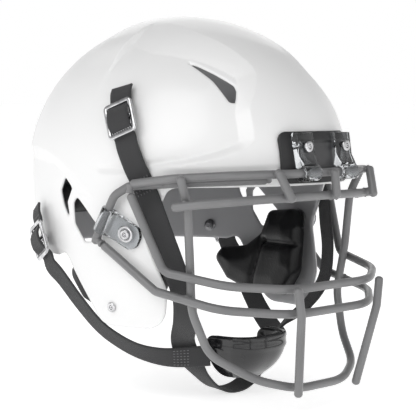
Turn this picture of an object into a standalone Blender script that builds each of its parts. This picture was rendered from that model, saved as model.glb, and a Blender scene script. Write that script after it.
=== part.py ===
"""American football helmet: shell, facemask, clips, padding, chin cup and chin straps.

Lengths are in millimetres in the head frame and become metres when a mesh is made.
Head frame: X to the wearer's left, -Y to the face, +Z up, level with the top of the ear holes.
The empty "helmet" carries every piece and lifts the head frame above the resting surface.
"""
import math

import bmesh
import bpy
from mathutils import Matrix, Vector

MM = 0.001
GAP = 0.3                       # clearance left between pieces that touch

# Head frame above the base centre of the whole helmet.
FRAME_Y = 7.4
FRAME_Z = 168.9

# Shell: a superellipsoid with its own half lengths to the front, rear, top and bottom.
SHELL_CENTRE_Y = 8.0
SHELL_CENTRE_Z = 23.0
HALF_WIDTH = 118.0
HALF_FRONT = 153.0
HALF_REAR = 146.0
HALF_TOP = 129.0
HALF_BOTTOM = 300.0
PLAN_POWER = 2.1
WALL = 4.0
BROW_Z = 14.0
NAPE_Z = -50.0
JAW_Z = -105.0

WIRE = 3.5                      # radius of the coated mask wire
BROW_PIVOT = (-155.0, 24.0)     # y, z of the straight stretch of the brow wire in its clips
CLIP_X = 24.0

STRAP_WIDTH = 20.0
STRAP_THICK = 1.8

COLOURS = {
    "shell": ((0.83, 0.83, 0.83), 0.15, 0.0),
    "bumper": ((0.045, 0.045, 0.05), 0.5, 0.0),
    "wire": ((0.30, 0.30, 0.305), 0.35, 0.0),
    "clip": ((0.55, 0.57, 0.60), 0.1, 0.0),
    "steel": ((0.62, 0.62, 0.63), 0.22, 1.0),
    "webbing": ((0.03, 0.03, 0.032), 0.8, 0.0),
    "pad": ((0.012, 0.012, 0.013), 0.6, 0.0),
    "cup": ((0.02, 0.02, 0.022), 0.35, 0.0),
}
MATERIALS = {}
HOMES = {}


# ---------------------------------------------------------------- scene and materials

def clear_scene():
    for piece in list(bpy.data.objects):
        bpy.data.objects.remove(piece, do_unlink=True)


def material(kind):
    """One Principled material for each kind of finish."""
    if kind not in MATERIALS:
        colour, roughness, metallic = COLOURS[kind]
        made = bpy.data.materials.new(kind)
        made.use_nodes = True
        shader = made.node_tree.nodes["Principled BSDF"]
        shader.inputs["Base Color"].default_value = (*colour, 1.0)
        shader.inputs["Roughness"].default_value = roughness
        shader.inputs["Metallic"].default_value = metallic
        MATERIALS[kind] = made
    return MATERIALS[kind]


def add_home(name, position, parent=None):
    """An empty at a head-frame point; a moving group turns about its own empty."""
    empty = bpy.data.objects.new(name, None)
    bpy.context.collection.objects.link(empty)
    HOMES[name] = Vector(position)
    start = Vector((0.0, 0.0, 0.0))
    if parent is not None:
        empty.parent = bpy.data.objects[parent]
        start = HOMES[parent]
    empty.location = (HOMES[name] - start) * MM
    return empty


def add_object(name, data, kind, home="helmet"):
    """Link a mesh or curve, whose points are in the head frame, as a named piece."""
    piece = bpy.data.objects.new(name, data)
    bpy.context.collection.objects.link(piece)
    data.materials.append(material(kind))
    piece.parent = bpy.data.objects[home]
    piece.location = -HOMES[home] * MM
    return piece


def mesh_from(name, bm, place=None, side=-1):
    """Turn a millimetre bmesh into a metre mesh; side 1 mirrors a right-hand shape to the left."""
    if place is not None:
        bmesh.ops.transform(bm, matrix=place, verts=bm.verts)
    if side > 0:
        bmesh.ops.scale(bm, vec=(-1, 1, 1), verts=bm.verts)
    bmesh.ops.recalc_face_normals(bm, faces=bm.faces)
    bmesh.ops.scale(bm, vec=(MM, MM, MM), verts=bm.verts)
    mesh = bpy.data.meshes.new(name)
    bm.to_mesh(mesh)
    bm.free()
    return mesh


def cut(piece, cutter, operation="DIFFERENCE"):
    """Boolean a piece with a hidden cutter."""
    cutter.hide_render = True
    cutter.display_type = "WIRE"
    modifier = piece.modifiers.new("cut_" + cutter.name, "BOOLEAN")
    modifier.operation = operation
    modifier.object = cutter
    modifier.solver = "EXACT"


# ---------------------------------------------------------------- outlines

def rounded(corners, step=20.0):
    """Closed outline through (u, v, radius) corners, each rounded by an arc."""
    points = []
    count = len(corners)
    for index, (u, v, radius) in enumerate(corners):
        here = Vector((u, v))
        before = Vector(corners[index - 1][:2]) - here
        after = Vector(corners[(index + 1) % count][:2]) - here
        if radius <= 0:
            points.append(here)
            continue
        points += corner_arc(here, before, after, radius, step)
    return [(p[0], p[1]) for p in points]


def corner_arc(here, before, after, radius, step):
    """Points of the arc that rounds the corner between two directions."""
    reach = min(before.length, after.length) * 0.495
    toward, away = before.normalized(), after.normalized()
    angle = toward.angle(away)
    if angle > math.pi - 0.02:
        return [here]
    trim = min(radius / math.tan(angle / 2), reach)
    true_radius = trim * math.tan(angle / 2)
    centre = here + (toward + away).normalized() * (true_radius / math.sin(angle / 2))
    start = here + toward * trim - centre
    end = here + away * trim - centre
    turn = math.pi - angle
    steps = max(1, math.ceil(math.degrees(turn) / step))
    arc = []
    for index in range(steps + 1):
        part = index / steps
        weight_start = math.sin((1 - part) * turn) / math.sin(turn)
        weight_end = math.sin(part * turn) / math.sin(turn)
        arc.append(centre + start * weight_start + end * weight_end)
    return arc


def box_outline(width, height, radius, centre=(0.0, 0.0)):
    u, v = centre
    half_u, half_v = width / 2, height / 2
    corners = [(u - half_u, v - half_v, radius), (u + half_u, v - half_v, radius),
               (u + half_u, v + half_v, radius), (u - half_u, v + half_v, radius)]
    return rounded(corners, step=45.0)


def circle_outline(radius, sides, centre=(0.0, 0.0)):
    return [(centre[0] + radius * math.cos(2 * math.pi * k / sides),
             centre[1] + radius * math.sin(2 * math.pi * k / sides)) for k in range(sides)]


def flat_face(outline, holes=()):
    """A bmesh with one flat filled outline, with holes, in the XY plane."""
    bm = bmesh.new()
    edges = []
    for loop in (outline, *holes):
        verts = [bm.verts.new((u, v, 0.0)) for u, v in loop]
        edges += [bm.edges.new((verts[k - 1], verts[k])) for k in range(len(verts))]
    if holes:
        bmesh.ops.triangle_fill(bm, edges=edges, use_beauty=True)
    else:
        bm.faces.new(bm.verts[:])
    return bm


def extruded(outline, depth, holes=()):
    """A prism on an outline, centred on its own depth along Z."""
    bm = flat_face(outline, holes)
    bmesh.ops.translate(bm, vec=(0, 0, -depth / 2), verts=bm.verts)
    grown = bmesh.ops.extrude_face_region(bm, geom=bm.faces[:])
    top = [part for part in grown["geom"] if isinstance(part, bmesh.types.BMVert)]
    bmesh.ops.translate(bm, vec=(0, 0, depth), verts=top)
    return bm


def side_prism(name, outline, depth, x=0.0, holes=()):
    """A prism whose outline lies in (y, z) and whose depth runs along X."""
    bm = extruded(outline, depth, holes)
    turn = Matrix(((0, 0, 1), (1, 0, 0), (0, 1, 0))).to_4x4()
    bmesh.ops.transform(bm, matrix=Matrix.Translation((x, 0, 0)) @ turn, verts=bm.verts)
    return mesh_from(name, bm)


# ---------------------------------------------------------------- shell surface

def shell_radius_factor(z):
    half = HALF_TOP if z > SHELL_CENTRE_Z else HALF_BOTTOM
    level = (z - SHELL_CENTRE_Z) / half
    return math.sqrt(max(0.0, 1.0 - level * level))


def normal_at(point):
    """Outward normal of the shell surface at a point on it."""
    half_y = HALF_FRONT if point[1] < SHELL_CENTRE_Y else HALF_REAR
    half_z = HALF_TOP if point[2] > SHELL_CENTRE_Z else HALF_BOTTOM
    across, along = point[0] / HALF_WIDTH, (point[1] - SHELL_CENTRE_Y) / half_y
    level = (point[2] - SHELL_CENTRE_Z) / half_z
    power = PLAN_POWER
    plan = (abs(across) ** power + abs(along) ** power)
    spread = plan ** (2 / power - 1) if plan > 1e-9 else 0.0
    slope = Vector((
        spread * math.copysign(abs(across) ** (power - 1), across) / HALF_WIDTH,
        spread * math.copysign(abs(along) ** (power - 1), along) / half_y,
        level / half_z))
    return slope.normalized()


def on_side(y, z, side, offset=0.0):
    """Point at height z and depth y on one side (-1 or 1), moved off the surface by offset."""
    factor = shell_radius_factor(z)
    half_y = HALF_FRONT if y < SHELL_CENTRE_Y else HALF_REAR
    along = abs((y - SHELL_CENTRE_Y) / half_y) ** PLAN_POWER
    across = max(0.0, factor ** PLAN_POWER - along) ** (1 / PLAN_POWER)
    point = Vector((side * HALF_WIDTH * across, y, z))
    return point + normal_at(point) * offset


def on_end(x, z, end, offset=0.0):
    """Point at x and height z on the front (end -1) or the rear (end 1)."""
    factor = shell_radius_factor(z)
    across = abs(x / HALF_WIDTH) ** PLAN_POWER
    along = max(0.0, factor ** PLAN_POWER - across) ** (1 / PLAN_POWER)
    half_y = HALF_FRONT if end < 0 else HALF_REAR
    point = Vector((x, SHELL_CENTRE_Y + end * half_y * along, z))
    return point + normal_at(point) * offset


def on_top(x, y, offset=0.0):
    """Point above (x, y) on the crown."""
    half_y = HALF_FRONT if y < SHELL_CENTRE_Y else HALF_REAR
    plan = (abs(x / HALF_WIDTH) ** PLAN_POWER
            + abs((y - SHELL_CENTRE_Y) / half_y) ** PLAN_POWER) ** (1 / PLAN_POWER)
    point = Vector((x, y, SHELL_CENTRE_Z + HALF_TOP * math.sqrt(max(0.0, 1 - plan * plan))))
    return point + normal_at(point) * offset


def seat(point, forward=(0.0, -1.0, 0.0)):
    """Matrix on the shell at a surface point: Z outward, X turned toward forward."""
    out = normal_at(point)
    along = Vector(forward)
    along = (along - out * along.dot(out)).normalized()
    across = out.cross(along)
    matrix = Matrix((along, across, out)).transposed().to_4x4()
    matrix.translation = point
    return matrix


def draped(name, outline, to_point, inner, outer, cuts_u=(), cuts_v=()):
    """A slab that follows a surface: a cut-up outline raised from the inner to the outer offset."""
    bm = flat_face(outline)
    for axis, cuts in ((0, cuts_u), (1, cuts_v)):
        for value in cuts:
            place, normal = [0.0, 0.0, 0.0], [0.0, 0.0, 0.0]
            place[axis], normal[axis] = value, 1.0
            bmesh.ops.bisect_plane(bm, geom=bm.verts[:] + bm.edges[:] + bm.faces[:],
                                   plane_co=place, plane_no=normal, dist=0.05)
    grown = bmesh.ops.extrude_face_region(bm, geom=bm.faces[:])
    raised = {part for part in grown["geom"] if isinstance(part, bmesh.types.BMVert)}
    for vert in bm.verts:
        u, v = vert.co.x, vert.co.y
        vert.co = to_point(u, v, outer if vert in raised else inner)
    bmesh.ops.triangulate(bm, faces=bm.faces[:])
    return mesh_from(name, bm)


# ---------------------------------------------------------------- shell

RING_SIDES = 48
SIDES = ((-1, "right"), (1, "left"))

SHELL_OUTLINE = [(-190, BROW_Z, 0), (-74, BROW_Z - 2, 10), (-54, -30, 18), (-68, -72, 16),
                 (-62, JAW_Z, 26), (-1, JAW_Z, 22), (40, NAPE_Z + 4, 14), (52, NAPE_Z, 0),
                 (190, NAPE_Z, 0), (190, 190, 0), (-190, 190, 0)]
EAR_OUTLINE = [(20, 2, 3), (-11, -25, 3), (-8, -33, 3), (12, -36, 3), (24, -21, 3), (25, -4, 3)]
REAR_VENT_OUTLINE = [(36, 18, 2), (26, 9, 2), (33, -3, 2), (30, -20, 1.5), (39, -6, 2), (43, 6, 2)]
TOP_VENT_CORNER = (-66, -56)
TOP_VENT_OUTLINE = [(0, 0, 1.5), (51, -3, 4), (55, -6.5, 4), (60, -17, 2), (55.5, -19, 2), (34.5, -9, 12),
                    (14.5, -3.4, 12)]


def shell_ring(factor, z, wall):
    """One level ring of the shell at a height, moved inward by the wall."""
    ring = []
    for k in range(RING_SIDES):
        turn = 2 * math.pi * (k + 0.5) / RING_SIDES
        half_y = HALF_FRONT if math.sin(turn) < 0 else HALF_REAR
        across = abs(math.cos(turn)) / (HALF_WIDTH - wall)
        along = abs(math.sin(turn)) / (half_y - wall)
        reach = factor / (across ** PLAN_POWER + along ** PLAN_POWER) ** (1 / PLAN_POWER)
        ring.append((reach * math.cos(turn), SHELL_CENTRE_Y + reach * math.sin(turn), z))
    return ring


def shell_levels(wall, floor_z):
    """Factors and heights of the rings from the floor up to near the crown."""
    levels = []
    for k in range(6):
        z = floor_z + (SHELL_CENTRE_Z - floor_z) * k / 6
        levels.append((shell_radius_factor(z), z))
    for k in range(12):
        rise = math.radians(7.5 * k)
        levels.append((math.cos(rise), SHELL_CENTRE_Z + (HALF_TOP - wall) * math.sin(rise)))
    return levels


def bowl(name, wall, floor_z):
    """A closed solid bounded by the shell surface moved inward and a flat floor."""
    bm = bmesh.new()
    rings = [[bm.verts.new(p) for p in shell_ring(factor, z, wall)]
             for factor, z in shell_levels(wall, floor_z)]
    for low, high in zip(rings, rings[1:]):
        for k in range(RING_SIDES):
            bm.faces.new((low[k - 1], low[k], high[k], high[k - 1]))
    apex = bm.verts.new((0, SHELL_CENTRE_Y, SHELL_CENTRE_Z + HALF_TOP - wall))
    for k in range(RING_SIDES):
        bm.faces.new((rings[-1][k - 1], rings[-1][k], apex))
    bm.faces.new(rings[0])
    return mesh_from(name, bm)


def make_shell():
    shell = add_object("shell", bowl("shell", 0.0, -120.0), "shell")
    cut(shell, add_object("cut_head_space", bowl("cut_head_space", WALL, -130.0), "shell"))
    keep = side_prism("keep_outline", rounded(SHELL_OUTLINE, 18.0), 300.0)
    cut(shell, add_object("keep_outline", keep, "shell"), "INTERSECT")
    for name, outline in (("cut_ear_holes", EAR_OUTLINE), ("cut_rear_vents", REAR_VENT_OUTLINE)):
        cut(shell, add_object(name, side_prism(name, rounded(outline, 60.0), 300.0), "shell"))
    for side, word in SIDES:
        name = "cut_top_vent_" + word
        bm = extruded(rounded(TOP_VENT_OUTLINE, 60.0), 40.0)
        vent = mesh_from(name, bm, seat(on_top(*TOP_VENT_CORNER), (0.0, -1.0, 0.0)), side)
        cut(shell, add_object(name, vent, "shell"))
    return shell


# ---------------------------------------------------------------- facemask

def wire_path(points, step=14.0):
    """A bent wire through (x, y, z, radius) points, as straight runs and arcs."""
    places = [Vector(p[:3]) for p in points]
    path = [places[0]]
    for k in range(1, len(points) - 1):
        before, after = places[k - 1] - places[k], places[k + 1] - places[k]
        path += corner_arc(places[k], before, after, points[k][3], step)
    return path + [places[-1]]


def mirrored(points):
    return [(-p[0], *p[1:]) for p in points]


def both_sides(half):
    """A wire that runs from the right end across the front to the left end."""
    return list(half) + mirrored(half)[::-1]


PERIMETER = [(-122, -9.5, -35), (-122, -33.5, 5.5, 16), (-117.5, -46, 13.2, 10),
             (-107.5, -85, 16.2, 40), (-77.5, -124.5, 18.3, 40), (-55, -138.9, 19)]
BROW = [(-124.6, -55, 15.5), (-113, -91, 20.6, 40), (-83.5, -129.5, 23.2, 60), (-42, -155, 24, 25)]
SIGHT = [(-117.4, -93, -2), (-105, -113.5, 1, 40), (-84, -137, 3.5, 50), (-45, -157, 5.5, 60)]
UPPER_JAW = [(-125.5, -54.8, 8.1), (-112.7, -80, -54, 12), (-94, -131, -63, 40), (-50, -161, -67, 60)]
LOWER_JAW = [(-121.5, -18.4, -34.9), (-107.8, -66, -71, 10), (-96, -124.5, -82, 40),
             (-50, -161, -87, 60)]
CAGE = [(-116.4, -101.6, 23), (-104, -97.6, 0, 40), (-99.5, -96, -45, 60), (-93.3, -92, -86, 40),
        (-86, -104, -121, 30), (-62, -134, -141, 50), (-30, -149, -150, 60)]
BRIDGE_SIDE = [(-59, -152.5, 27), (-52, -163, 2)]
BRIDGE_CENTRE = [(0, -162.3, 26.5), (0, -165.2, 3)]
CHIN_STRUT = [(-53, -168.6, -64), (-49, -169, -88, 10), (-37, -156, -155)]


def wire(name, points):
    """A round coated wire swept along its path, with flat ends."""
    curve = bpy.data.curves.new(name, "CURVE")
    curve.dimensions = "3D"
    curve.bevel_depth = WIRE * MM
    curve.bevel_resolution = 2
    curve.use_fill_caps = True
    spline = curve.splines.new("POLY")
    path = wire_path(points)
    spline.points.add(len(path) - 1)
    for knot, place in zip(spline.points, path):
        knot.co = (*(place * MM), 1.0)
    return add_object(name, curve, "wire", "facemask")


def make_facemask():
    wire("brow_wire", both_sides(BROW))
    wire("sight_wire", both_sides(SIGHT))
    wire("upper_jaw_wire", both_sides(UPPER_JAW))
    wire("lower_jaw_wire", both_sides(LOWER_JAW))
    wire("cage_wire", both_sides(CAGE))
    wire("bridge_wire_centre", BRIDGE_CENTRE)
    for turn, word in ((list, "right"), (mirrored, "left")):
        wire("perimeter_wire_" + word, turn(PERIMETER))
        wire("bridge_wire_" + word, turn(BRIDGE_SIDE))
        wire("chin_strut_" + word, turn(CHIN_STRUT))


# ---------------------------------------------------------------- fasteners

SCREW_SHANK = 2.3
SHANK_HOLE = 2.8
TOP_SCREW = (-24.0, 45.0)       # x, z
SIDE_SCREW = (-40.0, -26.0)     # y, z
JAW_SCREW = (-16.0, -88.0)
STUDS = (("upper", (-33.0, 65.0)), ("lower", (70.0, -38.0)))
INNER_SEAT = -WALL - 0.9        # inner pieces clear the flat facets of the shell


def turned(profile, sides):
    """A solid of revolution about Z from a closed (radius, height) profile."""
    bm = bmesh.new()
    verts = [bm.verts.new((radius, 0.0, height)) for radius, height in profile]
    edges = [bm.edges.new((verts[k - 1], verts[k])) for k in range(len(verts))]
    edges = [e for e in edges if max(abs(v.co.x) for v in e.verts) > 1e-6]
    bmesh.ops.spin(bm, geom=verts + edges, cent=(0, 0, 0), axis=(0, 0, 1), angle=2 * math.pi,
                   steps=sides, use_merge=True)
    bmesh.ops.remove_doubles(bm, verts=bm.verts, dist=0.001)
    loose = [e for e in bm.edges if not e.link_faces]
    bmesh.ops.delete(bm, geom=loose, context="EDGES")
    return bm


def screw_shape(head_radius, head_height, under_head, shank_end):
    """A pan-head screw: its head sits at under_head and its shank ends at shank_end."""
    top = under_head + head_height
    return turned([(0, shank_end), (SCREW_SHANK, shank_end), (SCREW_SHANK, under_head),
                   (head_radius, under_head), (head_radius, top - 0.8),
                   (head_radius * 0.65, top), (0, top)], 12)


def nut_shape(flange_radius, depth):
    """A flanged nut below the inner seat, with a clear bore."""
    return turned([(SHANK_HOLE, INNER_SEAT), (flange_radius, INNER_SEAT),
                   (flange_radius, INNER_SEAT - 1.5), (4.2, INNER_SEAT - 1.8),
                   (4.2, INNER_SEAT - depth), (SHANK_HOLE, INNER_SEAT - depth)], 12)


def bore(piece, seat_place, side, length=40.0):
    """Drill the shank hole along a fastener's axis."""
    name = "bore_" + piece.name + "_%d" % len(piece.modifiers)
    hole = mesh_from(name, extruded(circle_outline(SHANK_HOLE, 8), length), seat_place, side)
    cut(piece, add_object(name, hole, "steel"))


def top_seat():
    """Seat of the top clip screw: its axis runs straight forward."""
    x, z = TOP_SCREW
    place = Matrix(((1, 0, 0), (0, 0, -1), (0, 1, 0))).to_4x4()
    place.translation = on_end(x, z, -1)
    return place


def fastener_seats():
    seats = {"jaw": seat(on_side(*JAW_SCREW, -1)), "top_clip": top_seat()}
    for word, (y, z) in STUDS:
        seats[word + "_stud"] = seat(on_side(y, z, -1))
    return seats


def make_fasteners(shell, bumper):
    """Screws, snap studs and their nuts, in pairs."""
    seats = fastener_seats()
    shapes = {
        "top_clip": (4.6, 2.4, 14.0, -11.4),
        "jaw": (4.2, 1.8, GAP, -10.0),
        "upper_stud": (6.5, 3.0, GAP, -9.6),
        "lower_stud": (6.5, 3.0, GAP, -9.6),
    }
    for side, word in SIDES:
        for use, place in seats.items():
            head_radius, head_height, under_head, shank_end = shapes[use]
            screw = screw_shape(head_radius, head_height, under_head, shank_end)
            suffix = "_" if use.endswith("stud") else "_screw_"
            add_object(use + suffix + word, mesh_from(use, screw, place, side), "steel")
            sunk = place @ Matrix.Translation((0, 0, -2.0 if use == "top_clip" else 0.0))
            nut = nut_shape(5.5, 4.5)
            add_object(use + "_nut_" + word, mesh_from(use + "_nut", nut, sunk, side), "steel")
            bore(shell, place, side)
            if use == "top_clip":
                bore(bumper, place, side)
                bore(bpy.data.objects["top_clip_" + word], place, side, 80.0)


# ---------------------------------------------------------------- bumpers and clips

FRONT_BUMPER = box_outline(80, 40, 7, (0, 35.5))
REAR_BUMPER = box_outline(110, 28, 8, (0, -32))
CLIP_WIDTH = 20.0
LOOP_INNER = WIRE + 0.5
LOOP_OUTER = 6.8


def make_bumpers():
    columns = [k * 10.0 for k in range(-4, 5)]
    front = draped("front_bumper", FRONT_BUMPER, lambda u, v, off: on_end(u, v, -1, off),
                   GAP, 3.2, columns, (26, 38, 48))
    rear = draped("rear_bumper", REAR_BUMPER, lambda u, v, off: on_end(u, v, 1, off),
                  GAP, 5.0, [k * 12.0 for k in range(-4, 5)], (-34, -24))
    add_object("rear_bumper", rear, "bumper")
    return add_object("front_bumper", front, "bumper")


def loop_clip_outline():
    """Side view (y, z) of a top clip: a doubled strap closed round the brow wire."""
    pivot_y, pivot_z = BROW_PIVOT
    start, stop = math.radians(35), math.radians(-235)
    points = [(pivot_y + 11.6, 56.0)]
    for k in range(13):
        turn = start + (stop - start) * k / 12
        points.append((pivot_y + LOOP_OUTER * math.cos(turn), pivot_z + LOOP_OUTER * math.sin(turn)))
    points += [(pivot_y + 1.0, 38.0), (pivot_y + 3.6, 56.0)]
    return points


def make_top_clips():
    hole = circle_outline(LOOP_INNER, 16, BROW_PIVOT)
    for side, word in SIDES:
        mesh = side_prism("top_clip_" + word, loop_clip_outline(), CLIP_WIDTH, side * CLIP_X, (hole,))
        add_object("top_clip_" + word, mesh, "clip")


# Side clip frame: origin on the perimeter wire, U forward and down, V along the wire, N outward.
SIDE_WIRE_X = -122.0
SIDE_WIRE_POINT = (-21.4, -15.0)
SIDE_WIRE_RUN = (-0.51, 0.86)
SIDE_CLIP_WIDTH = 22.0
SIDE_CLIP_REACH = 34.0
SIDE_SCREW_REACH = 21.6
SIDE_LOOP_OUTER = 5.6
SIDE_CLIP_UNDER = [(34, -12.6), (21.6, -9.6), (10, -7.1)]
SIDE_CLIP_OVER = [(10, -2.6), (21.6, -6.2), (34, -9.8)]


def side_clip_place():
    run = Vector((0.0, *SIDE_WIRE_RUN)).normalized()
    out = Vector((-1.0, 0.0, 0.0))
    forward = run.cross(out)
    place = Matrix((forward, out, run)).transposed().to_4x4()
    place.translation = Vector((SIDE_WIRE_X, *SIDE_WIRE_POINT))
    return place


def side_clip_shape():
    """A strap closed round the wire, flat forward of it, in (U, N) and extruded along V."""
    loop = []
    start, stop = math.radians(30), math.radians(275)
    for k in range(11):
        turn = start + (stop - start) * k / 10
        loop.append((SIDE_LOOP_OUTER * math.cos(turn), SIDE_LOOP_OUTER * math.sin(turn)))
    outline = loop + SIDE_CLIP_UNDER[::-1] + SIDE_CLIP_OVER[::-1]
    return extruded(outline, SIDE_CLIP_WIDTH, (circle_outline(LOOP_INNER - 0.2, 14),))


def make_side_clips():
    place = side_clip_place()
    turn = Matrix(((1, 0, 0), (0, 0, 1), (0, 1, 0))).to_4x4()
    end = rounded([(-20, -12, 0), (SIDE_CLIP_REACH, -12, 11.5), (SIDE_CLIP_REACH, 12, 11.5),
                   (-20, 12, 0)])
    for side, word in SIDES:
        name = "side_clip_" + word
        clip = add_object(name, mesh_from(name, side_clip_shape(), place, side), "clip", "facemask")
        tip = mesh_from("tip_" + word, extruded(end, 60.0), place @ turn, side)
        cut(clip, add_object("tip_" + word, tip, "clip", "facemask"), "INTERSECT")
        axis_place = side_screw_place()
        bore(clip, axis_place, side, 14.0)
        position = axis_place.translation.copy()
        position.x *= -side
        home = "side_screw_axis_" + word
        add_home(home, position, "facemask")
        screw = screw_shape(4.2, 2.4, 0.0, -3.6)
        screw_name = "side_clip_screw_" + word
        add_object(screw_name, mesh_from(screw_name, screw, axis_place, side), "steel", home)


def side_screw_place():
    """Axis of the quarter-turn screw: on the clip's outer face, along its outward slope."""
    place = side_clip_place()
    first, last = Vector(SIDE_CLIP_OVER[0]), Vector(SIDE_CLIP_OVER[2])
    tilt = math.atan2(last.y - first.y, last.x - first.x)
    spot = Matrix.Translation((SIDE_SCREW_REACH, SIDE_CLIP_OVER[1][1] + GAP, 0.0))
    return place @ spot @ Matrix.Rotation(tilt, 4, "Z") @ Matrix.Rotation(-math.pi / 2, 4, "X")


def make_side_receptacles(shell):
    """Quick-release sockets behind the side clips, through the shell wall."""
    place = seat(on_side(*SIDE_SCREW, -1))
    for side, word in SIDES:
        socket = turned([(SHANK_HOLE, INNER_SEAT), (8.0, INNER_SEAT), (8.0, INNER_SEAT - 1.6),
                         (5.5, INNER_SEAT - 2.0), (5.5, INNER_SEAT - 5.5),
                         (SHANK_HOLE, INNER_SEAT - 5.5)], 12)
        name = "side_clip_socket_" + word
        add_object(name, mesh_from(name, socket, place, side), "steel")
        bore(shell, place, side)


# ---------------------------------------------------------------- chin straps and buckles

STRAP_LIFT = 4.2                # strap underside above the shell, clear of the stud
BUCKLE_BASE = 7.4
BUCKLE_SIZE = (27.0, 31.0)
BUCKLE_WINDOW = 11.0
BUCKLE_THICK = 2.4

# Upper strap below the brow: centre line from the shell edge to the middle under the chin cup,
# then the direction its flat face looks.
UPPER_FREE = [((-108.5, -65, -8), (-1, -0.35, 0)), ((-104.5, -70, -26), (-1, -0.4, 0)),
              ((-99, -77, -50), (-1, -0.4, 0)), ((-90, -80, -76), (-1, -0.4, -0.1)),
              ((-79, -71, -98), (-1, -0.6, -0.3)), ((-65, -55, -116), (-0.7, -0.7, -0.35)),
              ((-53.5, -50, -131), (-0.7, -0.6, -0.5)), ((-38, -49, -149), (-0.6, 0, -1)),
              ((-19, -49, -163), (-0.25, 0.1, -1)), ((0, -49, -167), (0, 0.1, -1))]
LOWER_FREE = [((-111, 44, -68), (-1, 0.3, -0.1)), ((-106, 27, -88), (-1, 0.2, -0.3)),
              ((-100, 9, -107), (-1, 0.1, -0.5)), ((-93, -8, -119), (-1, 0, -0.6)),
              ((-85, -25, -127), (-1, -0.1, -0.6)), ((-74, -42, -131), (-1, -0.4, -0.5)),
              ((-61, -57, -131), (-1, -0.7, -0.3)), ((-46, -68, -130), (-1, -0.6, -0.1))]


def strap_rows(stations, width, thick):
    """Four corners of the strap's section at each (place, facing) station."""
    places = [Vector(place) for place, _ in stations]
    rows = []
    for k, (_, facing) in enumerate(stations):
        along = (places[min(k + 1, len(places) - 1)] - places[max(k - 1, 0)]).normalized()
        out = Vector(facing)
        out = (out - along * out.dot(along)).normalized()
        across = along.cross(out)
        rows.append([places[k] + across * (width / 2 * a) + out * (thick / 2 * b)
                     for a, b in ((-1, -1), (1, -1), (1, 1), (-1, 1))])
    return rows


def ribbon(rows):
    """A closed flat strap through rows of four corners."""
    bm = bmesh.new()
    rings = [[bm.verts.new(p) for p in row] for row in rows]
    for low, high in zip(rings, rings[1:]):
        for k in range(4):
            bm.faces.new((low[k - 1], low[k], high[k], high[k - 1]))
    bm.faces.new(rings[0])
    bm.faces.new(rings[-1])
    bmesh.ops.triangulate(bm, faces=bm.faces[:])
    return bm


def on_shell_run(start, stop, lifts):
    """Stations on the right side of the shell from (y, z) start to stop, at given lifts."""
    stations = []
    for part, lift in lifts:
        y = start[0] + (stop[0] - start[0]) * part
        z = start[1] + (stop[1] - start[1]) * part
        point = on_side(y, z, -1)
        out = normal_at(point)
        stations.append((tuple(point + out * (lift + STRAP_THICK / 2)), tuple(out)))
    return stations


def threaded(centre_part, reach):
    """Lifts along a strap that dips under a buckle's ends and rises over its middle bar."""
    low, high = STRAP_LIFT, BUCKLE_BASE + BUCKLE_THICK + 3 * GAP
    return [(centre_part - 1.3 * reach, low), (centre_part - 0.8 * reach, low),
            (centre_part - 0.3 * reach, high), (centre_part + 0.3 * reach, high),
            (centre_part + 0.8 * reach, low), (centre_part + 1.3 * reach, low)]


def buckle_place(start, stop, part):
    y = start[0] + (stop[0] - start[0]) * part
    z = start[1] + (stop[1] - start[1]) * part
    return seat(on_side(y, z, -1), (0.0, stop[0] - start[0], stop[1] - start[1]))


def buckle_shape():
    """A ladder frame: two windows and a middle bar, long side along U."""
    width, length = BUCKLE_SIZE
    outline = box_outline(length, width, 3.0)
    centre = 1.5 + BUCKLE_WINDOW / 2
    window = [box_outline(BUCKLE_WINDOW, width - 5.0, 1.0, (side * centre, 0)) for side in (-1, 1)]
    bm = extruded(outline, BUCKLE_THICK, window)
    bmesh.ops.translate(bm, vec=(0, 0, BUCKLE_BASE + BUCKLE_THICK / 2), verts=bm.verts)
    return bm


UPPER_RUN = ((-21.0, 91.0), (-59.0, 3.0))
LOWER_RUN = ((75.0, -14.0), (56.0, -52.0))
UPPER_BUCKLE = 0.30
LOWER_BUCKLE = 0.60


def run_length(run):
    (y0, z0), (y1, z1) = run
    return math.hypot(y1 - y0, z1 - z0)


def make_straps():
    upper_reach = BUCKLE_SIZE[1] / 2 / run_length(UPPER_RUN)
    lower_reach = BUCKLE_SIZE[1] / 2 / run_length(LOWER_RUN)
    upper_lifts = [(0.0, 2.5)] + threaded(UPPER_BUCKLE, upper_reach)
    upper_lifts += [(0.7, 2.5), (0.82, 0.4), (1.0, 0.4)]
    lower_lifts = threaded(LOWER_BUCKLE, lower_reach)
    lower_lifts = [(0.0, 2.5)] + lower_lifts[1:]
    half = on_shell_run(*UPPER_RUN, upper_lifts) + UPPER_FREE
    other = [((-x, y, z), (-u, v, w)) for (x, y, z), (u, v, w) in half[-2::-1]]
    upper = strap_rows(half + other, STRAP_WIDTH, STRAP_THICK)
    add_object("upper_chin_strap", mesh_from("upper_chin_strap", ribbon(upper)), "webbing")
    lower = strap_rows(on_shell_run(*LOWER_RUN, lower_lifts) + LOWER_FREE, STRAP_WIDTH * 0.9, STRAP_THICK)
    for side, word in SIDES:
        name = "lower_chin_strap_" + word
        add_object(name, mesh_from(name, ribbon(lower), None, side), "webbing")
        for use, run, part in (("upper", UPPER_RUN, UPPER_BUCKLE), ("lower", LOWER_RUN, LOWER_BUCKLE)):
            name = use + "_buckle_" + word
            add_object(name, mesh_from(name, buckle_shape(), buckle_place(*run, part), side), "steel")


# ---------------------------------------------------------------- chin cup

CUP_CENTRE = (0.0, -56.0, -120.0)
CUP_RADII = (36.0, 40.0, 36.0)
CUP_OUTLINE = rounded([(-86, -62, 22), (86, -62, 22), (96, 8, 14), (-96, 8, 14)], 30.0)


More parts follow.
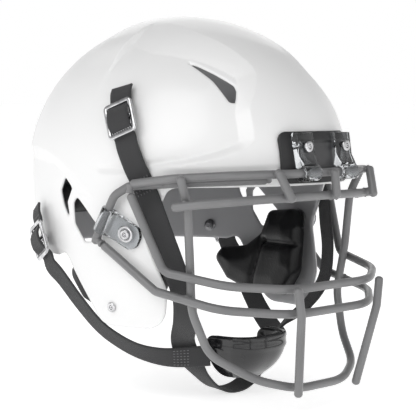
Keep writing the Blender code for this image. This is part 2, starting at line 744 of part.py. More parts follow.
def on_cup(azimuth, elevation, offset):
    """Point on the chin cup's rounded box; azimuth 0 is straight ahead, in degrees."""
    turn, rise = math.radians(azimuth), math.radians(elevation)
    wide, deep, tall = (radius + offset for radius in CUP_RADII)
    power = 2.7
    across, ahead = abs(math.sin(turn)) / wide, abs(math.cos(turn)) / deep
    reach = math.cos(rise) / (across ** power + ahead ** power) ** (1 / power)
    return Vector((CUP_CENTRE[0] + reach * math.sin(turn), CUP_CENTRE[1] - reach * math.cos(turn),
                   CUP_CENTRE[2] + tall * math.sin(rise)))


def make_chin_cup():
    columns = [k * 20.0 for k in range(-4, 5)]
    rows = (-50, -35, -20, -5)
    cup = draped("chin_cup", CUP_OUTLINE, on_cup, -1.2, 1.2, columns, rows)
    add_object("chin_cup", cup, "cup")
    liner = draped("chin_cup_liner", CUP_OUTLINE, on_cup, -7.5, -1.7, columns, rows)
    add_object("chin_cup_liner", liner, "pad")


# ---------------------------------------------------------------- padding

PAD_BACK = -WALL - 1.2
PAD_BACK_BEHIND_NUTS = -WALL - 9.0
JAW_PAD = rounded([(-60, -34, 6), (-50, -17, 8), (-16, -20, 8), (-6, -42, 8), (14, -55, 10),
                   (45, -58, 6), (54, -68, 8), (36, -88, 8), (4, -98, 12), (-42, -98, 16),
                   (-61, -74, 12)], 30.0)
SIDE_PAD = rounded([(-56, 26, 8), (-40, 74, 14), (52, 74, 14), (60, 26, 8)], 30.0)
FRONT_PAD = box_outline(104, 36, 9, (0, 38))
REAR_PAD = box_outline(104, 56, 9, (0, 4))
CROWN_PAD = rounded([(-44, -62, 24), (44, -62, 24), (44, 76, 24), (-44, 76, 24)], 30.0)


def add_pad(name, outline, to_point, thick, cuts_u, cuts_v, back=PAD_BACK_BEHIND_NUTS):
    add_object(name, draped(name, outline, to_point, back - thick, back, cuts_u, cuts_v), "pad")


def make_pads():
    for side, word in SIDES:
        def beside(y, z, offset, side=side):
            return on_side(y, z, side, offset)
        add_pad("jaw_pad_" + word, JAW_PAD, beside, 17.0, (-40, -20, 0), (-80, -60, -40))
        add_pad("side_pad_" + word, SIDE_PAD, beside, 12.0, (-30, -10, 10, 30), (42, 58))
    add_pad("front_pad", FRONT_PAD, lambda u, v, off: on_end(u, v, -1, off), 12.0,
            (-36, -18, 0, 18, 36), (32, 44))
    add_pad("rear_pad", REAR_PAD, lambda u, v, off: on_end(u, v, 1, off), 16.0,
            (-36, -18, 0, 18, 36), (-12, 4, 18), PAD_BACK)
    add_pad("crown_pad", CROWN_PAD, on_top, 18.0, (-22, 0, 22), (-40, -16, 8, 32, 56), PAD_BACK)


def main():
    clear_scene()
    add_home("frame_origin", (0.0, -FRAME_Y, -FRAME_Z))
    bpy.data.objects["frame_origin"].location = (0, 0, 0)
    add_home("helmet", (0.0, 0.0, 0.0), "frame_origin")
    add_home("facemask", (0.0, *BROW_PIVOT), "helmet")
    shell = make_shell()
    bumper = make_bumpers()
    make_top_clips()
    make_fasteners(shell, bumper)
    make_side_receptacles(shell)
    make_facemask()
    make_side_clips()
    make_straps()
    make_chin_cup()
    make_pads()


main()
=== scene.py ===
"""American football helmet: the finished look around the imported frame.

Shapes are worked out in the head frame, in millimetres: -Y forward, +Z up, the wearer's right
at -X, and z = 0 at the ear holes. The right side is modelled and the left mirrors it.
"""
import math

import bmesh
import bpy
import numpy as np
from mathutils import Matrix, Vector


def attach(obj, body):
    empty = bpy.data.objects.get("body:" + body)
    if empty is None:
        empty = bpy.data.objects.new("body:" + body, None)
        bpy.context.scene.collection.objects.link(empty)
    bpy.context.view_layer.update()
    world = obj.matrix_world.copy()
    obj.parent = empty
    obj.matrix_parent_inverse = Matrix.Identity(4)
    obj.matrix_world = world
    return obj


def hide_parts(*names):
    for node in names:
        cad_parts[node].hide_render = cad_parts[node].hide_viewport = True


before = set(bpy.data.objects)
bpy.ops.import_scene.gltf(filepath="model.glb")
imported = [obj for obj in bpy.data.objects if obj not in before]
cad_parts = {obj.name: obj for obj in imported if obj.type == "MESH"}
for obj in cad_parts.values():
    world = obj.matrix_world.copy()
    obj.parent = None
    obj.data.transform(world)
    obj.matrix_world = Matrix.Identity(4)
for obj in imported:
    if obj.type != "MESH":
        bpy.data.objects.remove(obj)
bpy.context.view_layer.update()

HEAD_FRAME = np.array((0.0, 7.4, 168.9))
MM = 0.001
SIDES = ((-1, "right"), (1, "left"))

# ---------------------------------------------------------------- shell dimensions

CENTRE = np.array((0.0, 8.0, 23.0))
HALF_WIDTH, HALF_FRONT, HALF_REAR, HALF_TOP, HALF_BOTTOM = 118.0, 153.0, 146.0, 129.0, 300.0
PLAN_POWER = 2.1
WALL = 4.0
BROW_Z, NAPE_Z, JAW_Z = 14.0, -50.0, -105.0
PANEL_RAISE = 2.6               # the front panel above the dome beside it
DOME_RAISE, REAR_SINK = 1.0, 2.2

SHELL_OUTLINE = [(-190, BROW_Z, 0), (-74, BROW_Z - 2, 10), (-54, -30, 18), (-68, -72, 16),
                 (-62, JAW_Z, 26), (-1, JAW_Z, 22), (40, NAPE_Z + 4, 14), (52, NAPE_Z, 0),
                 (190, NAPE_Z, 0), (190, 190, 0), (-190, 190, 0)]
EAR_OUTLINE = [(20, 2, 3), (-11, -25, 3), (-8, -33, 3), (12, -36, 3), (24, -21, 3), (25, -4, 3)]
REAR_VENT_OUTLINE = [(36, 18, 2), (26, 9, 2), (33, -3, 2), (30, -20, 1.5), (39, -6, 2), (43, 6, 2)]
TOP_VENT_CORNER = (-66, -56)
TOP_VENT_OUTLINE = [(0, 0, 1.5), (51, -3, 4), (55, -6.5, 4), (60, -17, 2), (55.5, -19, 2), (34.5, -9, 12),
                    (14.5, -3.4, 12)]

# Front panel: half-widths at arc lengths up from the brow, at its raised edge and its foot.
PANEL_ARC = 2.27                # mm of arc for each degree up the centre line
PANEL_EDGE = [(10, 97), (12.3, 87.4), (15.5, 73.7), (20.5, 61.6), (26, 55.9), (51, 52.7), (66, 41),
              (80, 32.4), (89, 32), (112, 35.3), (147, 39), (198, 34.7)]
PANEL_FOOT = [(14, 112), (21, 79), (24, 71), (27, 65.7), (50, 62.8), (72.5, 52.4), (82, 48.3),
              (130, 65.9), (162, 72), (199, 66.9)]
PANEL_END = (199.0, 202.5)
# Rear step: heights of its upper and lower edge along the side, at depths y.
STEP_UPPER = [(-12, -2.8), (12, 13.6), (33, 30), (61, 39.6), (91, 42.6), (154, 46)]
STEP_LOWER = [(-12, -18), (12, 2.8), (33, 19.5), (50, 27.7), (74, 30), (154, 36)]

# ---------------------------------------------------------------- materials


def nodes_of(name, **values):
    """A Principled material and its node tree."""
    material = bpy.data.materials.new(name)
    material.use_nodes = True
    shader = material.node_tree.nodes["Principled BSDF"]
    for key, value in values.items():
        shader.inputs[key.replace("_", " ")].default_value = value
    return material, material.node_tree, shader


def noise(tree, scale, detail=4.0, coordinates="Object"):
    texture = tree.nodes.new("ShaderNodeTexNoise")
    texture.inputs["Scale"].default_value = scale
    texture.inputs["Detail"].default_value = detail
    source = tree.nodes.new("ShaderNodeTexCoord")
    tree.links.new(source.outputs[coordinates], texture.inputs["Vector"])
    return texture.outputs["Fac"]


def ramp(tree, value, low, high, start=0.0, stop=1.0):
    """Map a texture value from start..stop to two colours or levels."""
    node = tree.nodes.new("ShaderNodeValToRGB")
    node.color_ramp.elements[0].position = start
    node.color_ramp.elements[1].position = stop
    for element, level in zip(node.color_ramp.elements, (low, high)):
        element.color = (*level, 1.0) if isinstance(level, tuple) else (level, level, level, 1.0)
    tree.links.new(value, node.inputs["Fac"])
    return node.outputs["Color"]


def bump(tree, shader, height, strength, distance):
    node = tree.nodes.new("ShaderNodeBump")
    node.inputs["Strength"].default_value = strength
    node.inputs["Distance"].default_value = distance
    tree.links.new(height, node.inputs["Height"])
    tree.links.new(node.outputs["Normal"], shader.inputs["Normal"])


def plastic_paint(name, light, dark, rough, coat, peel=0.12):
    """Gloss moulded shell: faint tone variation, fine scuffs and a trace of orange peel."""
    material, tree, shader = nodes_of(name, Coat_Weight=coat, Coat_Roughness=0.04)
    tree.links.new(ramp(tree, noise(tree, 9.0), dark, light, 0.3, 0.7), shader.inputs["Base Color"])
    tree.links.new(ramp(tree, noise(tree, 60.0, 8.0), rough, rough + 0.05, 0.3, 0.8),
                   shader.inputs["Roughness"])
    bump(tree, shader, noise(tree, 350.0, 2.0), peel, 0.0002)
    return material


def coated_wire():
    """Dipped vinyl coating: satin grey with slight thickness variation and rubbed patches."""
    material, tree, shader = nodes_of("wire_coating", Coat_Weight=0.25, Coat_Roughness=0.25)
    tree.links.new(ramp(tree, noise(tree, 22.0, 5.0), (0.155, 0.155, 0.158), (0.20, 0.20, 0.203), 0.3, 0.7),
                   shader.inputs["Base Color"])
    tree.links.new(ramp(tree, noise(tree, 90.0, 6.0), 0.33, 0.48, 0.35, 0.7), shader.inputs["Roughness"])
    bump(tree, shader, noise(tree, 480.0, 3.0), 0.22, 0.0002)
    return material


def clear_plastic():
    """Clear moulded polycarbonate with flow marks."""
    material, tree, shader = nodes_of("clear_plastic", Transmission_Weight=1.0, IOR=1.5,
                                      Base_Color=(0.82, 0.84, 0.86, 1.0))
    tree.links.new(ramp(tree, noise(tree, 130.0, 5.0), 0.02, 0.09, 0.35, 0.8), shader.inputs["Roughness"])
    bump(tree, shader, noise(tree, 120.0, 3.0), 0.5, 0.0006)
    return material


def chrome():
    """Bright plating with fine wear scratches."""
    material, tree, shader = nodes_of("chrome", Metallic=1.0)
    tree.links.new(ramp(tree, noise(tree, 150.0, 6.0), (0.42, 0.42, 0.43), (0.68, 0.68, 0.69), 0.3, 0.6),
                   shader.inputs["Base Color"])
    tree.links.new(ramp(tree, noise(tree, 300.0, 8.0), 0.07, 0.24, 0.4, 0.8), shader.inputs["Roughness"])
    bump(tree, shader, noise(tree, 800.0, 3.0), 0.1, 0.0001)
    return material


def webbing():
    """Woven nylon: a chevron weave along the strap's own coordinates, with painted shade darkening its furrows."""
    material, tree, shader = nodes_of("webbing", Sheen_Weight=0.12, Sheen_Roughness=0.4, Roughness=0.8)
    waves = []
    source = tree.nodes.new("ShaderNodeTexCoord")
    for angle in (38.0, -38.0):
        turn = tree.nodes.new("ShaderNodeMapping")
        turn.inputs["Rotation"].default_value = (0.0, 0.0, math.radians(angle))
        wave = tree.nodes.new("ShaderNodeTexWave")
        wave.inputs["Scale"].default_value = 0.36
        wave.inputs["Distortion"].default_value = 0.35
        tree.links.new(source.outputs["UV"], turn.inputs["Vector"])
        tree.links.new(turn.outputs["Vector"], wave.inputs["Vector"])
        waves.append(wave.outputs["Fac"])
    weave = tree.nodes.new("ShaderNodeMath")
    weave.operation = "MAXIMUM"
    tree.links.new(waves[0], weave.inputs[0])
    tree.links.new(waves[1], weave.inputs[1])
    # painted shade: the colour follows the weave's height and is darker in its furrows
    colour = ramp(tree, weave.outputs["Value"], (0.012, 0.012, 0.013), (0.05, 0.05, 0.052), 0.25, 0.9)
    tree.links.new(colour, shader.inputs["Base Color"])
    bump(tree, shader, weave.outputs["Value"], 0.75, 0.0004)
    return material


def pad_skin():
    """Black moulded foam skin with a fine leather-like grain."""
    material, tree, shader = nodes_of("pad_skin", Coat_Weight=0.1, Coat_Roughness=0.2, Specular_IOR_Level=0.25)
    grain = tree.nodes.new("ShaderNodeTexVoronoi")
    grain.inputs["Scale"].default_value = 650.0
    source = tree.nodes.new("ShaderNodeTexCoord")
    tree.links.new(source.outputs["Object"], grain.inputs["Vector"])
    tree.links.new(ramp(tree, noise(tree, 30.0, 5.0), (0.004, 0.004, 0.0045), (0.009, 0.009, 0.01), 0.3, 0.7),
                   shader.inputs["Base Color"])
    tree.links.new(ramp(tree, noise(tree, 80.0, 5.0), 0.28, 0.44, 0.3, 0.7), shader.inputs["Roughness"])
    bump(tree, shader, grain.outputs["Distance"], 0.35, 0.0003)
    return material


def moulded(name, colour, rough, coat=0.0, grain=420.0):
    """Moulded rubber or hard plastic with a fine texture."""
    material, tree, shader = nodes_of(name, Coat_Weight=coat, Coat_Roughness=0.12)
    light = tuple(level * 1.35 for level in colour)
    tree.links.new(ramp(tree, noise(tree, 40.0, 5.0), colour, light, 0.3, 0.75), shader.inputs["Base Color"])
    tree.links.new(ramp(tree, noise(tree, 120.0, 6.0), rough, rough + 0.12, 0.35, 0.75),
                   shader.inputs["Roughness"])
    bump(tree, shader, noise(tree, grain, 3.0), 0.25, 0.0002)
    return material


WHITE = plastic_paint("shell_white", (0.82, 0.82, 0.82), (0.81, 0.81, 0.81), 0.3, 0.2)
INSIDE = plastic_paint("shell_inside", (0.36, 0.36, 0.37), (0.31, 0.31, 0.32), 0.42, 0.0, 0.3)
COATING = coated_wire()
CLEAR = clear_plastic()
CHROME = chrome()
WEBBING = webbing()
PAD = pad_skin()
RUBBER = moulded("bumper_rubber", (0.012, 0.012, 0.013), 0.42)
PLATE = moulded("bumper_plate", (0.04, 0.04, 0.042), 0.34)
CUP = moulded("cup_plastic", (0.008, 0.008, 0.009), 0.16, 0.5)
THREAD = moulded("thread", (0.15, 0.15, 0.155), 0.6, 0.0, 900.0)
STEEL = moulded("dark_steel", (0.20, 0.20, 0.205), 0.3)
STEEL.node_tree.nodes["Principled BSDF"].inputs["Metallic"].default_value = 1.0

# ---------------------------------------------------------------- outlines


def corner_arc(here, before, after, radius, step):
    """Points of the arc that rounds the corner between two directions."""
    toward, away = before.normalized(), after.normalized()
    angle = toward.angle(away)
    if angle > math.pi - 0.02 or radius <= 0:
        return [here]
    trim = min(radius / math.tan(angle / 2), min(before.length, after.length) * 0.495)
    centre = here + (toward + away).normalized() * (trim / math.cos(angle / 2))
    start, end = here + toward * trim - centre, here + away * trim - centre
    turn = math.pi - angle
    steps = max(1, math.ceil(math.degrees(turn) / step))
    arc = []
    for k in range(steps + 1):
        weights = math.sin((1 - k / steps) * turn) / math.sin(turn), math.sin(k / steps * turn) / math.sin(turn)
        arc.append(centre + start * weights[0] + end * weights[1])
    return arc


def rounded(corners, step=8.0):
    """Closed outline through (u, v, radius) corners, each rounded by an arc."""
    points = []
    for k, (u, v, radius) in enumerate(corners):
        here = Vector((u, v))
        before = Vector(corners[k - 1][:2]) - here
        after = Vector(corners[(k + 1) % len(corners)][:2]) - here
        points += corner_arc(here, before, after, radius, step)
    return np.array([tuple(p) for p in points])


def box_outline(width, height, radius, centre=(0.0, 0.0)):
    u, v = width / 2, height / 2
    corners = [(-u, -v), (u, -v), (u, v), (-u, v)]
    return rounded([(centre[0] + a, centre[1] + b, radius) for a, b in corners])


def inside_distance(points, outline):
    """Distance to a closed outline, positive inside it."""
    nearest = np.full(len(points), 1e9)
    inside = np.zeros(len(points), bool)
    for a, b in zip(outline, np.roll(outline, -1, axis=0)):
        run = b - a
        part = np.clip((points - a) @ run / (run @ run), 0.0, 1.0)
        gap = points - a - part[:, None] * run
        nearest = np.minimum(nearest, (gap ** 2).sum(1))
        if a[1] != b[1]:
            crossing = (a[1] > points[:, 1]) != (b[1] > points[:, 1])
            at = run[0] * (points[:, 1] - a[1]) / run[1] + a[0]
            inside ^= crossing & (points[:, 0] < at)
    return np.where(inside, 1.0, -1.0) * np.sqrt(nearest)


# ---------------------------------------------------------------- shell surface


def halves(points):
    half_y = np.where(points[:, 1] < CENTRE[1], HALF_FRONT, HALF_REAR)
    half_z = np.where(points[:, 2] > CENTRE[2], HALF_TOP, HALF_BOTTOM)
    return half_y, half_z


def plan_norm(x, y, half_y):
    return ((abs(x) / HALF_WIDTH) ** PLAN_POWER + (abs(y) / half_y) ** PLAN_POWER) ** (1 / PLAN_POWER)


def onto_shell(points):
    """Move points along their line from the centre onto the shell surface."""
    half_y, half_z = halves(points)
    arm = points - CENTRE
    reach = np.sqrt(plan_norm(arm[:, 0], arm[:, 1], half_y) ** 2 + (arm[:, 2] / half_z) ** 2)
    return CENTRE + arm / reach[:, None]


def shell_normals(points):
    half_y, half_z = halves(points)
    arm = points - CENTRE
    across, along = arm[:, 0] / HALF_WIDTH, arm[:, 1] / half_y
    plan = np.maximum(abs(across) ** PLAN_POWER + abs(along) ** PLAN_POWER, 1e-12)
    spread = plan ** (2 / PLAN_POWER - 1)
    slope = np.stack((spread * np.sign(across) * abs(across) ** (PLAN_POWER - 1) / HALF_WIDTH,
                      spread * np.sign(along) * abs(along) ** (PLAN_POWER - 1) / half_y,
                      arm[:, 2] / half_z ** 2), 1)
    return slope / np.linalg.norm(slope, axis=1)[:, None]


def level_factor(z):
    half = np.where(z > CENTRE[2], HALF_TOP, HALF_BOTTOM)
    return np.sqrt(np.maximum(0.0, 1.0 - ((z - CENTRE[2]) / half) ** 2))


def side_points(uv):
    """Right side of the shell at (y, z)."""
    y, z = uv[:, 0], uv[:, 1]
    half_y = np.where(y < CENTRE[1], HALF_FRONT, HALF_REAR)
    along = abs((y - CENTRE[1]) / half_y) ** PLAN_POWER
    x = np.maximum(0.0, level_factor(z) ** PLAN_POWER - along) ** (1 / PLAN_POWER)
    return np.stack((-HALF_WIDTH * x, y, z), 1)


def end_points(uv, end):
    """Front (end -1) or rear (end 1) of the shell at (x, z)."""
    x, z = uv[:, 0], uv[:, 1]
    across = abs(x / HALF_WIDTH) ** PLAN_POWER
    along = np.maximum(0.0, level_factor(z) ** PLAN_POWER - across) ** (1 / PLAN_POWER)
    half_y = HALF_FRONT if end < 0 else HALF_REAR
    return np.stack((x, CENTRE[1] + end * half_y * along, z), 1)


def top_points(uv):
    """Crown of the shell at (x, y)."""
    x, y = uv[:, 0], uv[:, 1]
    half_y = np.where(y < CENTRE[1], HALF_FRONT, HALF_REAR)
    plan = plan_norm(x, y - CENTRE[1], half_y)
    return np.stack((x, y, CENTRE[2] + HALF_TOP * np.sqrt(np.maximum(0.0, 1 - plan ** 2))), 1)


def one(surface, *uv):
    """A single point and its outward normal on a surface."""
    point = surface(np.array([uv], float))
    return Vector(point[0]), Vector(shell_normals(point)[0])


def seat(point, out, forward=(0.0, -1.0, 0.0)):
    """Matrix at a surface point: Z outward, X turned toward forward."""
    along = Vector(forward)
    along = (along - out * along.dot(out)).normalized()
    matrix = Matrix((along, out.cross(along), out)).transposed().to_4x4()
    matrix.translation = point
    return matrix


# ---------------------------------------------------------------- sheets cut along lines


def split(params, faces, values, tiny=0.02):
    """Cut triangles along the zero line of their values; also tell which faces are positive."""
    values = np.where(abs(values) < tiny, tiny, values)
    positive = values > 0
    mixed = positive[faces].any(1) & ~positive[faces].all(1)
    made, points, pieces, flags = {}, [], [], []

    def crossing(a, b):
        key = (min(a, b), max(a, b))
        if key not in made:
            part = values[key[0]] / (values[key[0]] - values[key[1]])
            made[key] = len(params) + len(points)
            points.append(params[key[0]] + (params[key[1]] - params[key[0]]) * part)
        return made[key]

    for face in faces[mixed]:
        signs = positive[face]
        lone = int(np.argmax(signs)) if signs.sum() == 1 else int(np.argmin(signs))
        a, b, c = np.roll(face, -lone)
        p, q = crossing(a, b), crossing(a, c)
        pieces += [(a, p, q), (p, b, c), (p, c, q)]
        flags += [positive[a], positive[b], positive[b]]
    if not pieces:
        return params, faces, positive[faces].all(1)
    kept = faces[~mixed]
    params = np.vstack((params, points))
    flags = np.concatenate((positive[kept].all(1), flags))
    return params, np.vstack((kept, pieces)), flags


def compact(params, faces):
    used, index = np.unique(faces, return_inverse=True)
    return params[used], index.reshape(faces.shape)


def edge_points(faces):
    """Points on the open edge of a triangle sheet."""
    edges = np.sort(np.vstack((faces[:, :2], faces[:, 1:], faces[:, ::2])), axis=1)
    unique, counts = np.unique(edges, axis=0, return_counts=True)
    return np.unique(unique[counts == 1])


def cut_sheet(params, faces, distance, levels, creases=()):
    """Trim a sheet to where distance is positive, then add lines at levels and creases."""
    params, faces, keep = split(params, faces, distance(params))
    params, faces = compact(params, faces[keep])
    for level in levels:
        params, faces, _ = split(params, faces, distance(params) - level)
    for crease in creases:
        params, faces, _ = split(params, faces, crease(params))
    return params, faces


def roundover(depth, radius):
    """How far a rounded edge falls below the face at a depth in from the rim."""
    inward = np.clip(radius - depth, 0.0, radius)
    return radius - np.sqrt(radius ** 2 - inward ** 2)


def closed_body(base, normals, faces, rim, outer, inner):
    """Two skins on one sheet, sharing the rim's points; returns points, faces, skin flags."""
    count = len(base)
    mid = (outer + inner) / 2
    outer = np.where(rim, mid, outer)
    inner = np.where(rim, mid, inner)
    index = np.arange(count)
    back = np.where(rim, index, index + count)
    points = np.vstack((base + normals * outer[:, None], base + normals * inner[:, None]))
    both = np.vstack((faces, back[faces][:, ::-1]))
    flags = np.repeat((0, 1), len(faces))
    points, both = compact(points, both)
    return points, both, flags


def mesh_object(name, points, faces, materials, slots=None):
    mesh = bpy.data.meshes.new(name)
    mesh.from_pydata(((points + HEAD_FRAME) * MM).tolist(), [], faces.tolist())
    for material in materials:
        mesh.materials.append(material)
    if slots is not None:
        mesh.polygons.foreach_set("material_index", np.asarray(slots, np.int32))
    mesh.shade_smooth()
    return link(name, mesh)


def link(name, data):
    piece = bpy.data.objects.new(name, data)
    bpy.context.scene.collection.objects.link(piece)
    return piece


def flip(points, side):
    return points * np.array((-side, 1.0, 1.0))


def outward(faces, side):
    return faces if side < 0 else faces[:, ::-1]


def grid_in(outline, step):
    """Triangle grid over an outline's box."""
    low, high = outline.min(0) - step, outline.max(0) + step
    counts = np.ceil((high - low) / step).astype(int)
    us = np.linspace(low[0], high[0], counts[0] + 1)
    vs = np.linspace(low[1], high[1], counts[1] + 1)
    u, v = np.meshgrid(us, vs, indexing="ij")
    index = np.arange(u.size).reshape(u.shape)
    a, b, c, d = index[:-1, :-1], index[1:, :-1], index[1:, 1:], index[:-1, 1:]
    faces = np.vstack([np.stack(t, -1).reshape(-1, 3) for t in ((a, b, c), (a, c, d))])
    return np.stack((u.ravel(), v.ravel()), 1), faces


def slab(outline, surface, step, radius, outer, inner, normals=shell_normals, creases=()):
    """A rounded slab on a surface: outer and inner give offsets at (uv, depth in from the rim)."""
    uv, faces = grid_in(outline, step)
    levels = [radius * part for part in (0.06, 0.25, 0.6, 1.0)]
    uv, faces = cut_sheet(uv, faces, lambda p: inside_distance(p, outline), levels, creases)
    depth = np.maximum(inside_distance(uv, outline), 0.0)
    rim = np.zeros(len(uv), bool)
    rim[edge_points(faces)] = True
    depth[rim] = 0.0
    base = surface(uv)
    facing = normals(base)
    a, b, c = base[faces[:, 0]], base[faces[:, 1]], base[faces[:, 2]]
    if (np.cross(b - a, c - a) * facing[faces[:, 0]]).sum() < 0:
        faces = faces[:, ::-1]
    fall = roundover(depth, radius)
    high, low = outer(uv, depth), inner(uv, depth)
    half = (high - low) / 2
    return closed_body(base, facing, faces, rim, high - np.minimum(fall, half), low + np.minimum(fall, half) * 0.5)


# ---------------------------------------------------------------- shell


def cube_sphere(count):
    """Triangles over the shell, without poles."""
    grid, faces = grid_in(np.array(((-1.0, -1.0), (1.0, 1.0))) * (1 - 2 / count), 2 / count)
    grid = np.tan(np.clip(grid, -1, 1) * math.pi / 4)
    points, both = [], []
    for axis in range(3):
        for sign in (-1.0, 1.0):
            face = np.ones((len(grid), 3)) * sign
            face[:, (axis + 1) % 3] = grid[:, 0]
            face[:, (axis + 2) % 3] = grid[:, 1]
            both.append((faces if sign > 0 else faces[:, ::-1]) + len(points) * len(grid))
            points.append(face)
    points, both = np.vstack(points) * (HALF_WIDTH, HALF_REAR, HALF_TOP), np.vstack(both)
    _, first, index = np.unique(np.round(points, 4), axis=0, return_index=True, return_inverse=True)
    return onto_shell(CENTRE + points[first]), index.ravel()[both]


TOP_SEAT = np.array(seat(*one(top_points, *TOP_VENT_CORNER)).inverted())
OUTLINES = {"keep": rounded(SHELL_OUTLINE), "ear": rounded(EAR_OUTLINE), "rear": rounded(REAR_VENT_OUTLINE),
            "top": rounded(TOP_VENT_OUTLINE)}


def shell_depth(points):
    """Distance in from the nearest rim of the shell or of one of its holes."""
    points = onto_shell(points)
    flat = points[:, 1:]
    depth = inside_distance(flat, OUTLINES["keep"])
    for name in ("ear", "rear"):
        depth = np.minimum(depth, -inside_distance(flat, OUTLINES[name]))
    right = points * (1, 1, 1)
    right[:, 0] = -abs(right[:, 0])
    local = right @ TOP_SEAT[:3, :3].T + TOP_SEAT[:3, 3]
    vent = np.where(local[:, 2] > -60, -inside_distance(local[:, :2], OUTLINES["top"]), 99.0)
    return np.minimum(depth, vent)


def along_line(table, value):
    keys, levels = zip(*table)
    return np.interp(value, keys, levels)


def arc_up(points):
    return PANEL_ARC * np.degrees(np.arctan2(points[:, 2] - CENTRE[2], CENTRE[1] - points[:, 1]))


def smooth(part):
    part = np.clip(part, 0.0, 1.0)
    return part * part * (3 - 2 * part)


def relief(points):
    """Raised front panel, its chamfers and the step round the rear."""
    x, y, z = abs(points[:, 0]), points[:, 1], points[:, 2]
    arc = arc_up(points)
    edge, foot = along_line(PANEL_EDGE, arc), along_line(PANEL_FOOT, arc)
    panel = np.clip((foot - x) / (foot - edge), 0.0, 1.0)
    beside = np.exp(-(np.maximum(x - foot, 0.0) / 26.0) ** 2)
    front = PANEL_RAISE * (2 * panel - 1) * np.where(panel > 0, 1.0, beside)
    behind = PANEL_RAISE * smooth((88 - x) / 22) * smooth((330 - arc) / 110)
    turn = np.clip((arc - PANEL_END[0]) / (PANEL_END[1] - PANEL_END[0]), 0.0, 1.0)
    front = np.where(arc > 240, behind, front * (1 - turn) + behind * turn)
    front *= smooth((arc - 2.0) / 9.0 + 0.35)
    upper, lower = along_line(STEP_UPPER, y), along_line(STEP_LOWER, y)
    above = np.clip((z - lower) / (upper - lower), 0.0, 1.0)
    dome = DOME_RAISE * np.exp(-(np.maximum(z - upper, 0.0) / 34.0) ** 2)
    rear = above * dome - (1 - above) * REAR_SINK
    return front * smooth((60 - y) / 30) + rear * smooth((y + 10) / 26)


def crease(table, value_of, key_of, where):
    """Signed distance to a relief line, kept away from zero outside its own stretch."""
    def distance(points):
        points = onto_shell(points)
        gap = value_of(points) - along_line(table, key_of(points))
        return np.where(where(points), gap, 50.0)
    return distance


def make_shell():
    points, faces = cube_sphere(84)
    width = lambda p: abs(p[:, 0])
    panel_zone = lambda p: (p[:, 1] < 20) & (arc_up(p) < 204) & (arc_up(p) > 8)
    rear_zone = lambda p: (p[:, 1] > -11) & (p[:, 2] < 70)
    depth_y, height = (lambda p: p[:, 1]), (lambda p: p[:, 2])
    creases = [crease(PANEL_EDGE, width, arc_up, panel_zone), crease(PANEL_FOOT, width, arc_up, panel_zone),
               crease(STEP_UPPER, height, depth_y, rear_zone), crease(STEP_LOWER, height, depth_y, rear_zone)]
    for stop in PANEL_END:
        creases.append(crease([(0, stop), (1, stop)], arc_up, width, lambda p: (p[:, 2] > 80) & (abs(p[:, 0]) < 90)))
    half_wall = WALL / 2
    levels = [half_wall * part for part in (0.1, 0.35, 1.0)]
    points, faces = cut_sheet(points, faces, shell_depth, levels, creases)
    points = onto_shell(points)
    rim = np.zeros(len(points), bool)
    rim[edge_points(faces)] = True
    depth = np.where(rim, 0.0, np.maximum(shell_depth(points), 0.0))
    fall = roundover(depth, half_wall)
    outer = relief(points)
    inner = np.minimum(outer, 0.0) * 0.6 - WALL
    half = (outer - inner) / 2
    body = closed_body(points, shell_normals(points), faces, rim, outer - fall * half / half_wall,
                       inner + fall * half / half_wall)
    shell = mesh_object("helmet_shell", body[0], body[1], (WHITE, INSIDE), body[2])
    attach(shell, "helmet")
    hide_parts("shell")


# ---------------------------------------------------------------- swept, turned and bevelled shapes


def lathe(profile, sides=40):
    """Points and faces of a turned solid about Z from a (radius, height) profile that starts
    and ends on the axis."""
    rings = [np.array([(r * math.cos(t), r * math.sin(t), h)
                       for t in np.arange(sides) * 2 * math.pi / sides]) for r, h in profile[1:-1]]
    points = np.vstack(rings + [[(0, 0, profile[0][1]), (0, 0, profile[-1][1])]])
    faces = []
    for ring in range(len(rings) - 1):
        for k in range(sides):
            a, b = ring * sides + k, ring * sides + (k + 1) % sides
            faces += [(a, b, b + sides), (a, b + sides, a + sides)]
    first, last, base = len(points) - 2, len(points) - 1, (len(rings) - 1) * sides
    for k in range(sides):
        faces += [(first, (k + 1) % sides, k), (last, base + k, base + (k + 1) % sides)]
    return points, np.array(faces)


def placed(points, matrix):
    matrix = np.array(matrix)
    return points @ matrix[:3, :3].T + matrix[:3, 3]


def frames_along(path, facing=None, closed=False):
    """Tangents and carried side vectors along a path."""
    path = np.asarray(path, float)
    ahead, behind = np.roll(path, -1, 0), np.roll(path, 1, 0)
    if not closed:
        ahead[-1], behind[0] = path[-1], path[0]
    tangents = ahead - behind
    tangents /= np.linalg.norm(tangents, axis=1)[:, None]
    if facing is not None:
        facing = np.asarray(facing, float)
    else:
        facing = np.zeros_like(path)
        current = np.cross(tangents[0], (0.3, 0.2, 0.93))
        for k, tangent in enumerate(tangents):
            current = current - tangent * (current @ tangent)
            current /= np.linalg.norm(current)
            facing[k] = current
    facing = facing - tangents * (facing * tangents).sum(1)[:, None]
    facing /= np.linalg.norm(facing, axis=1)[:, None]
    return tangents, facing, np.cross(tangents, facing)


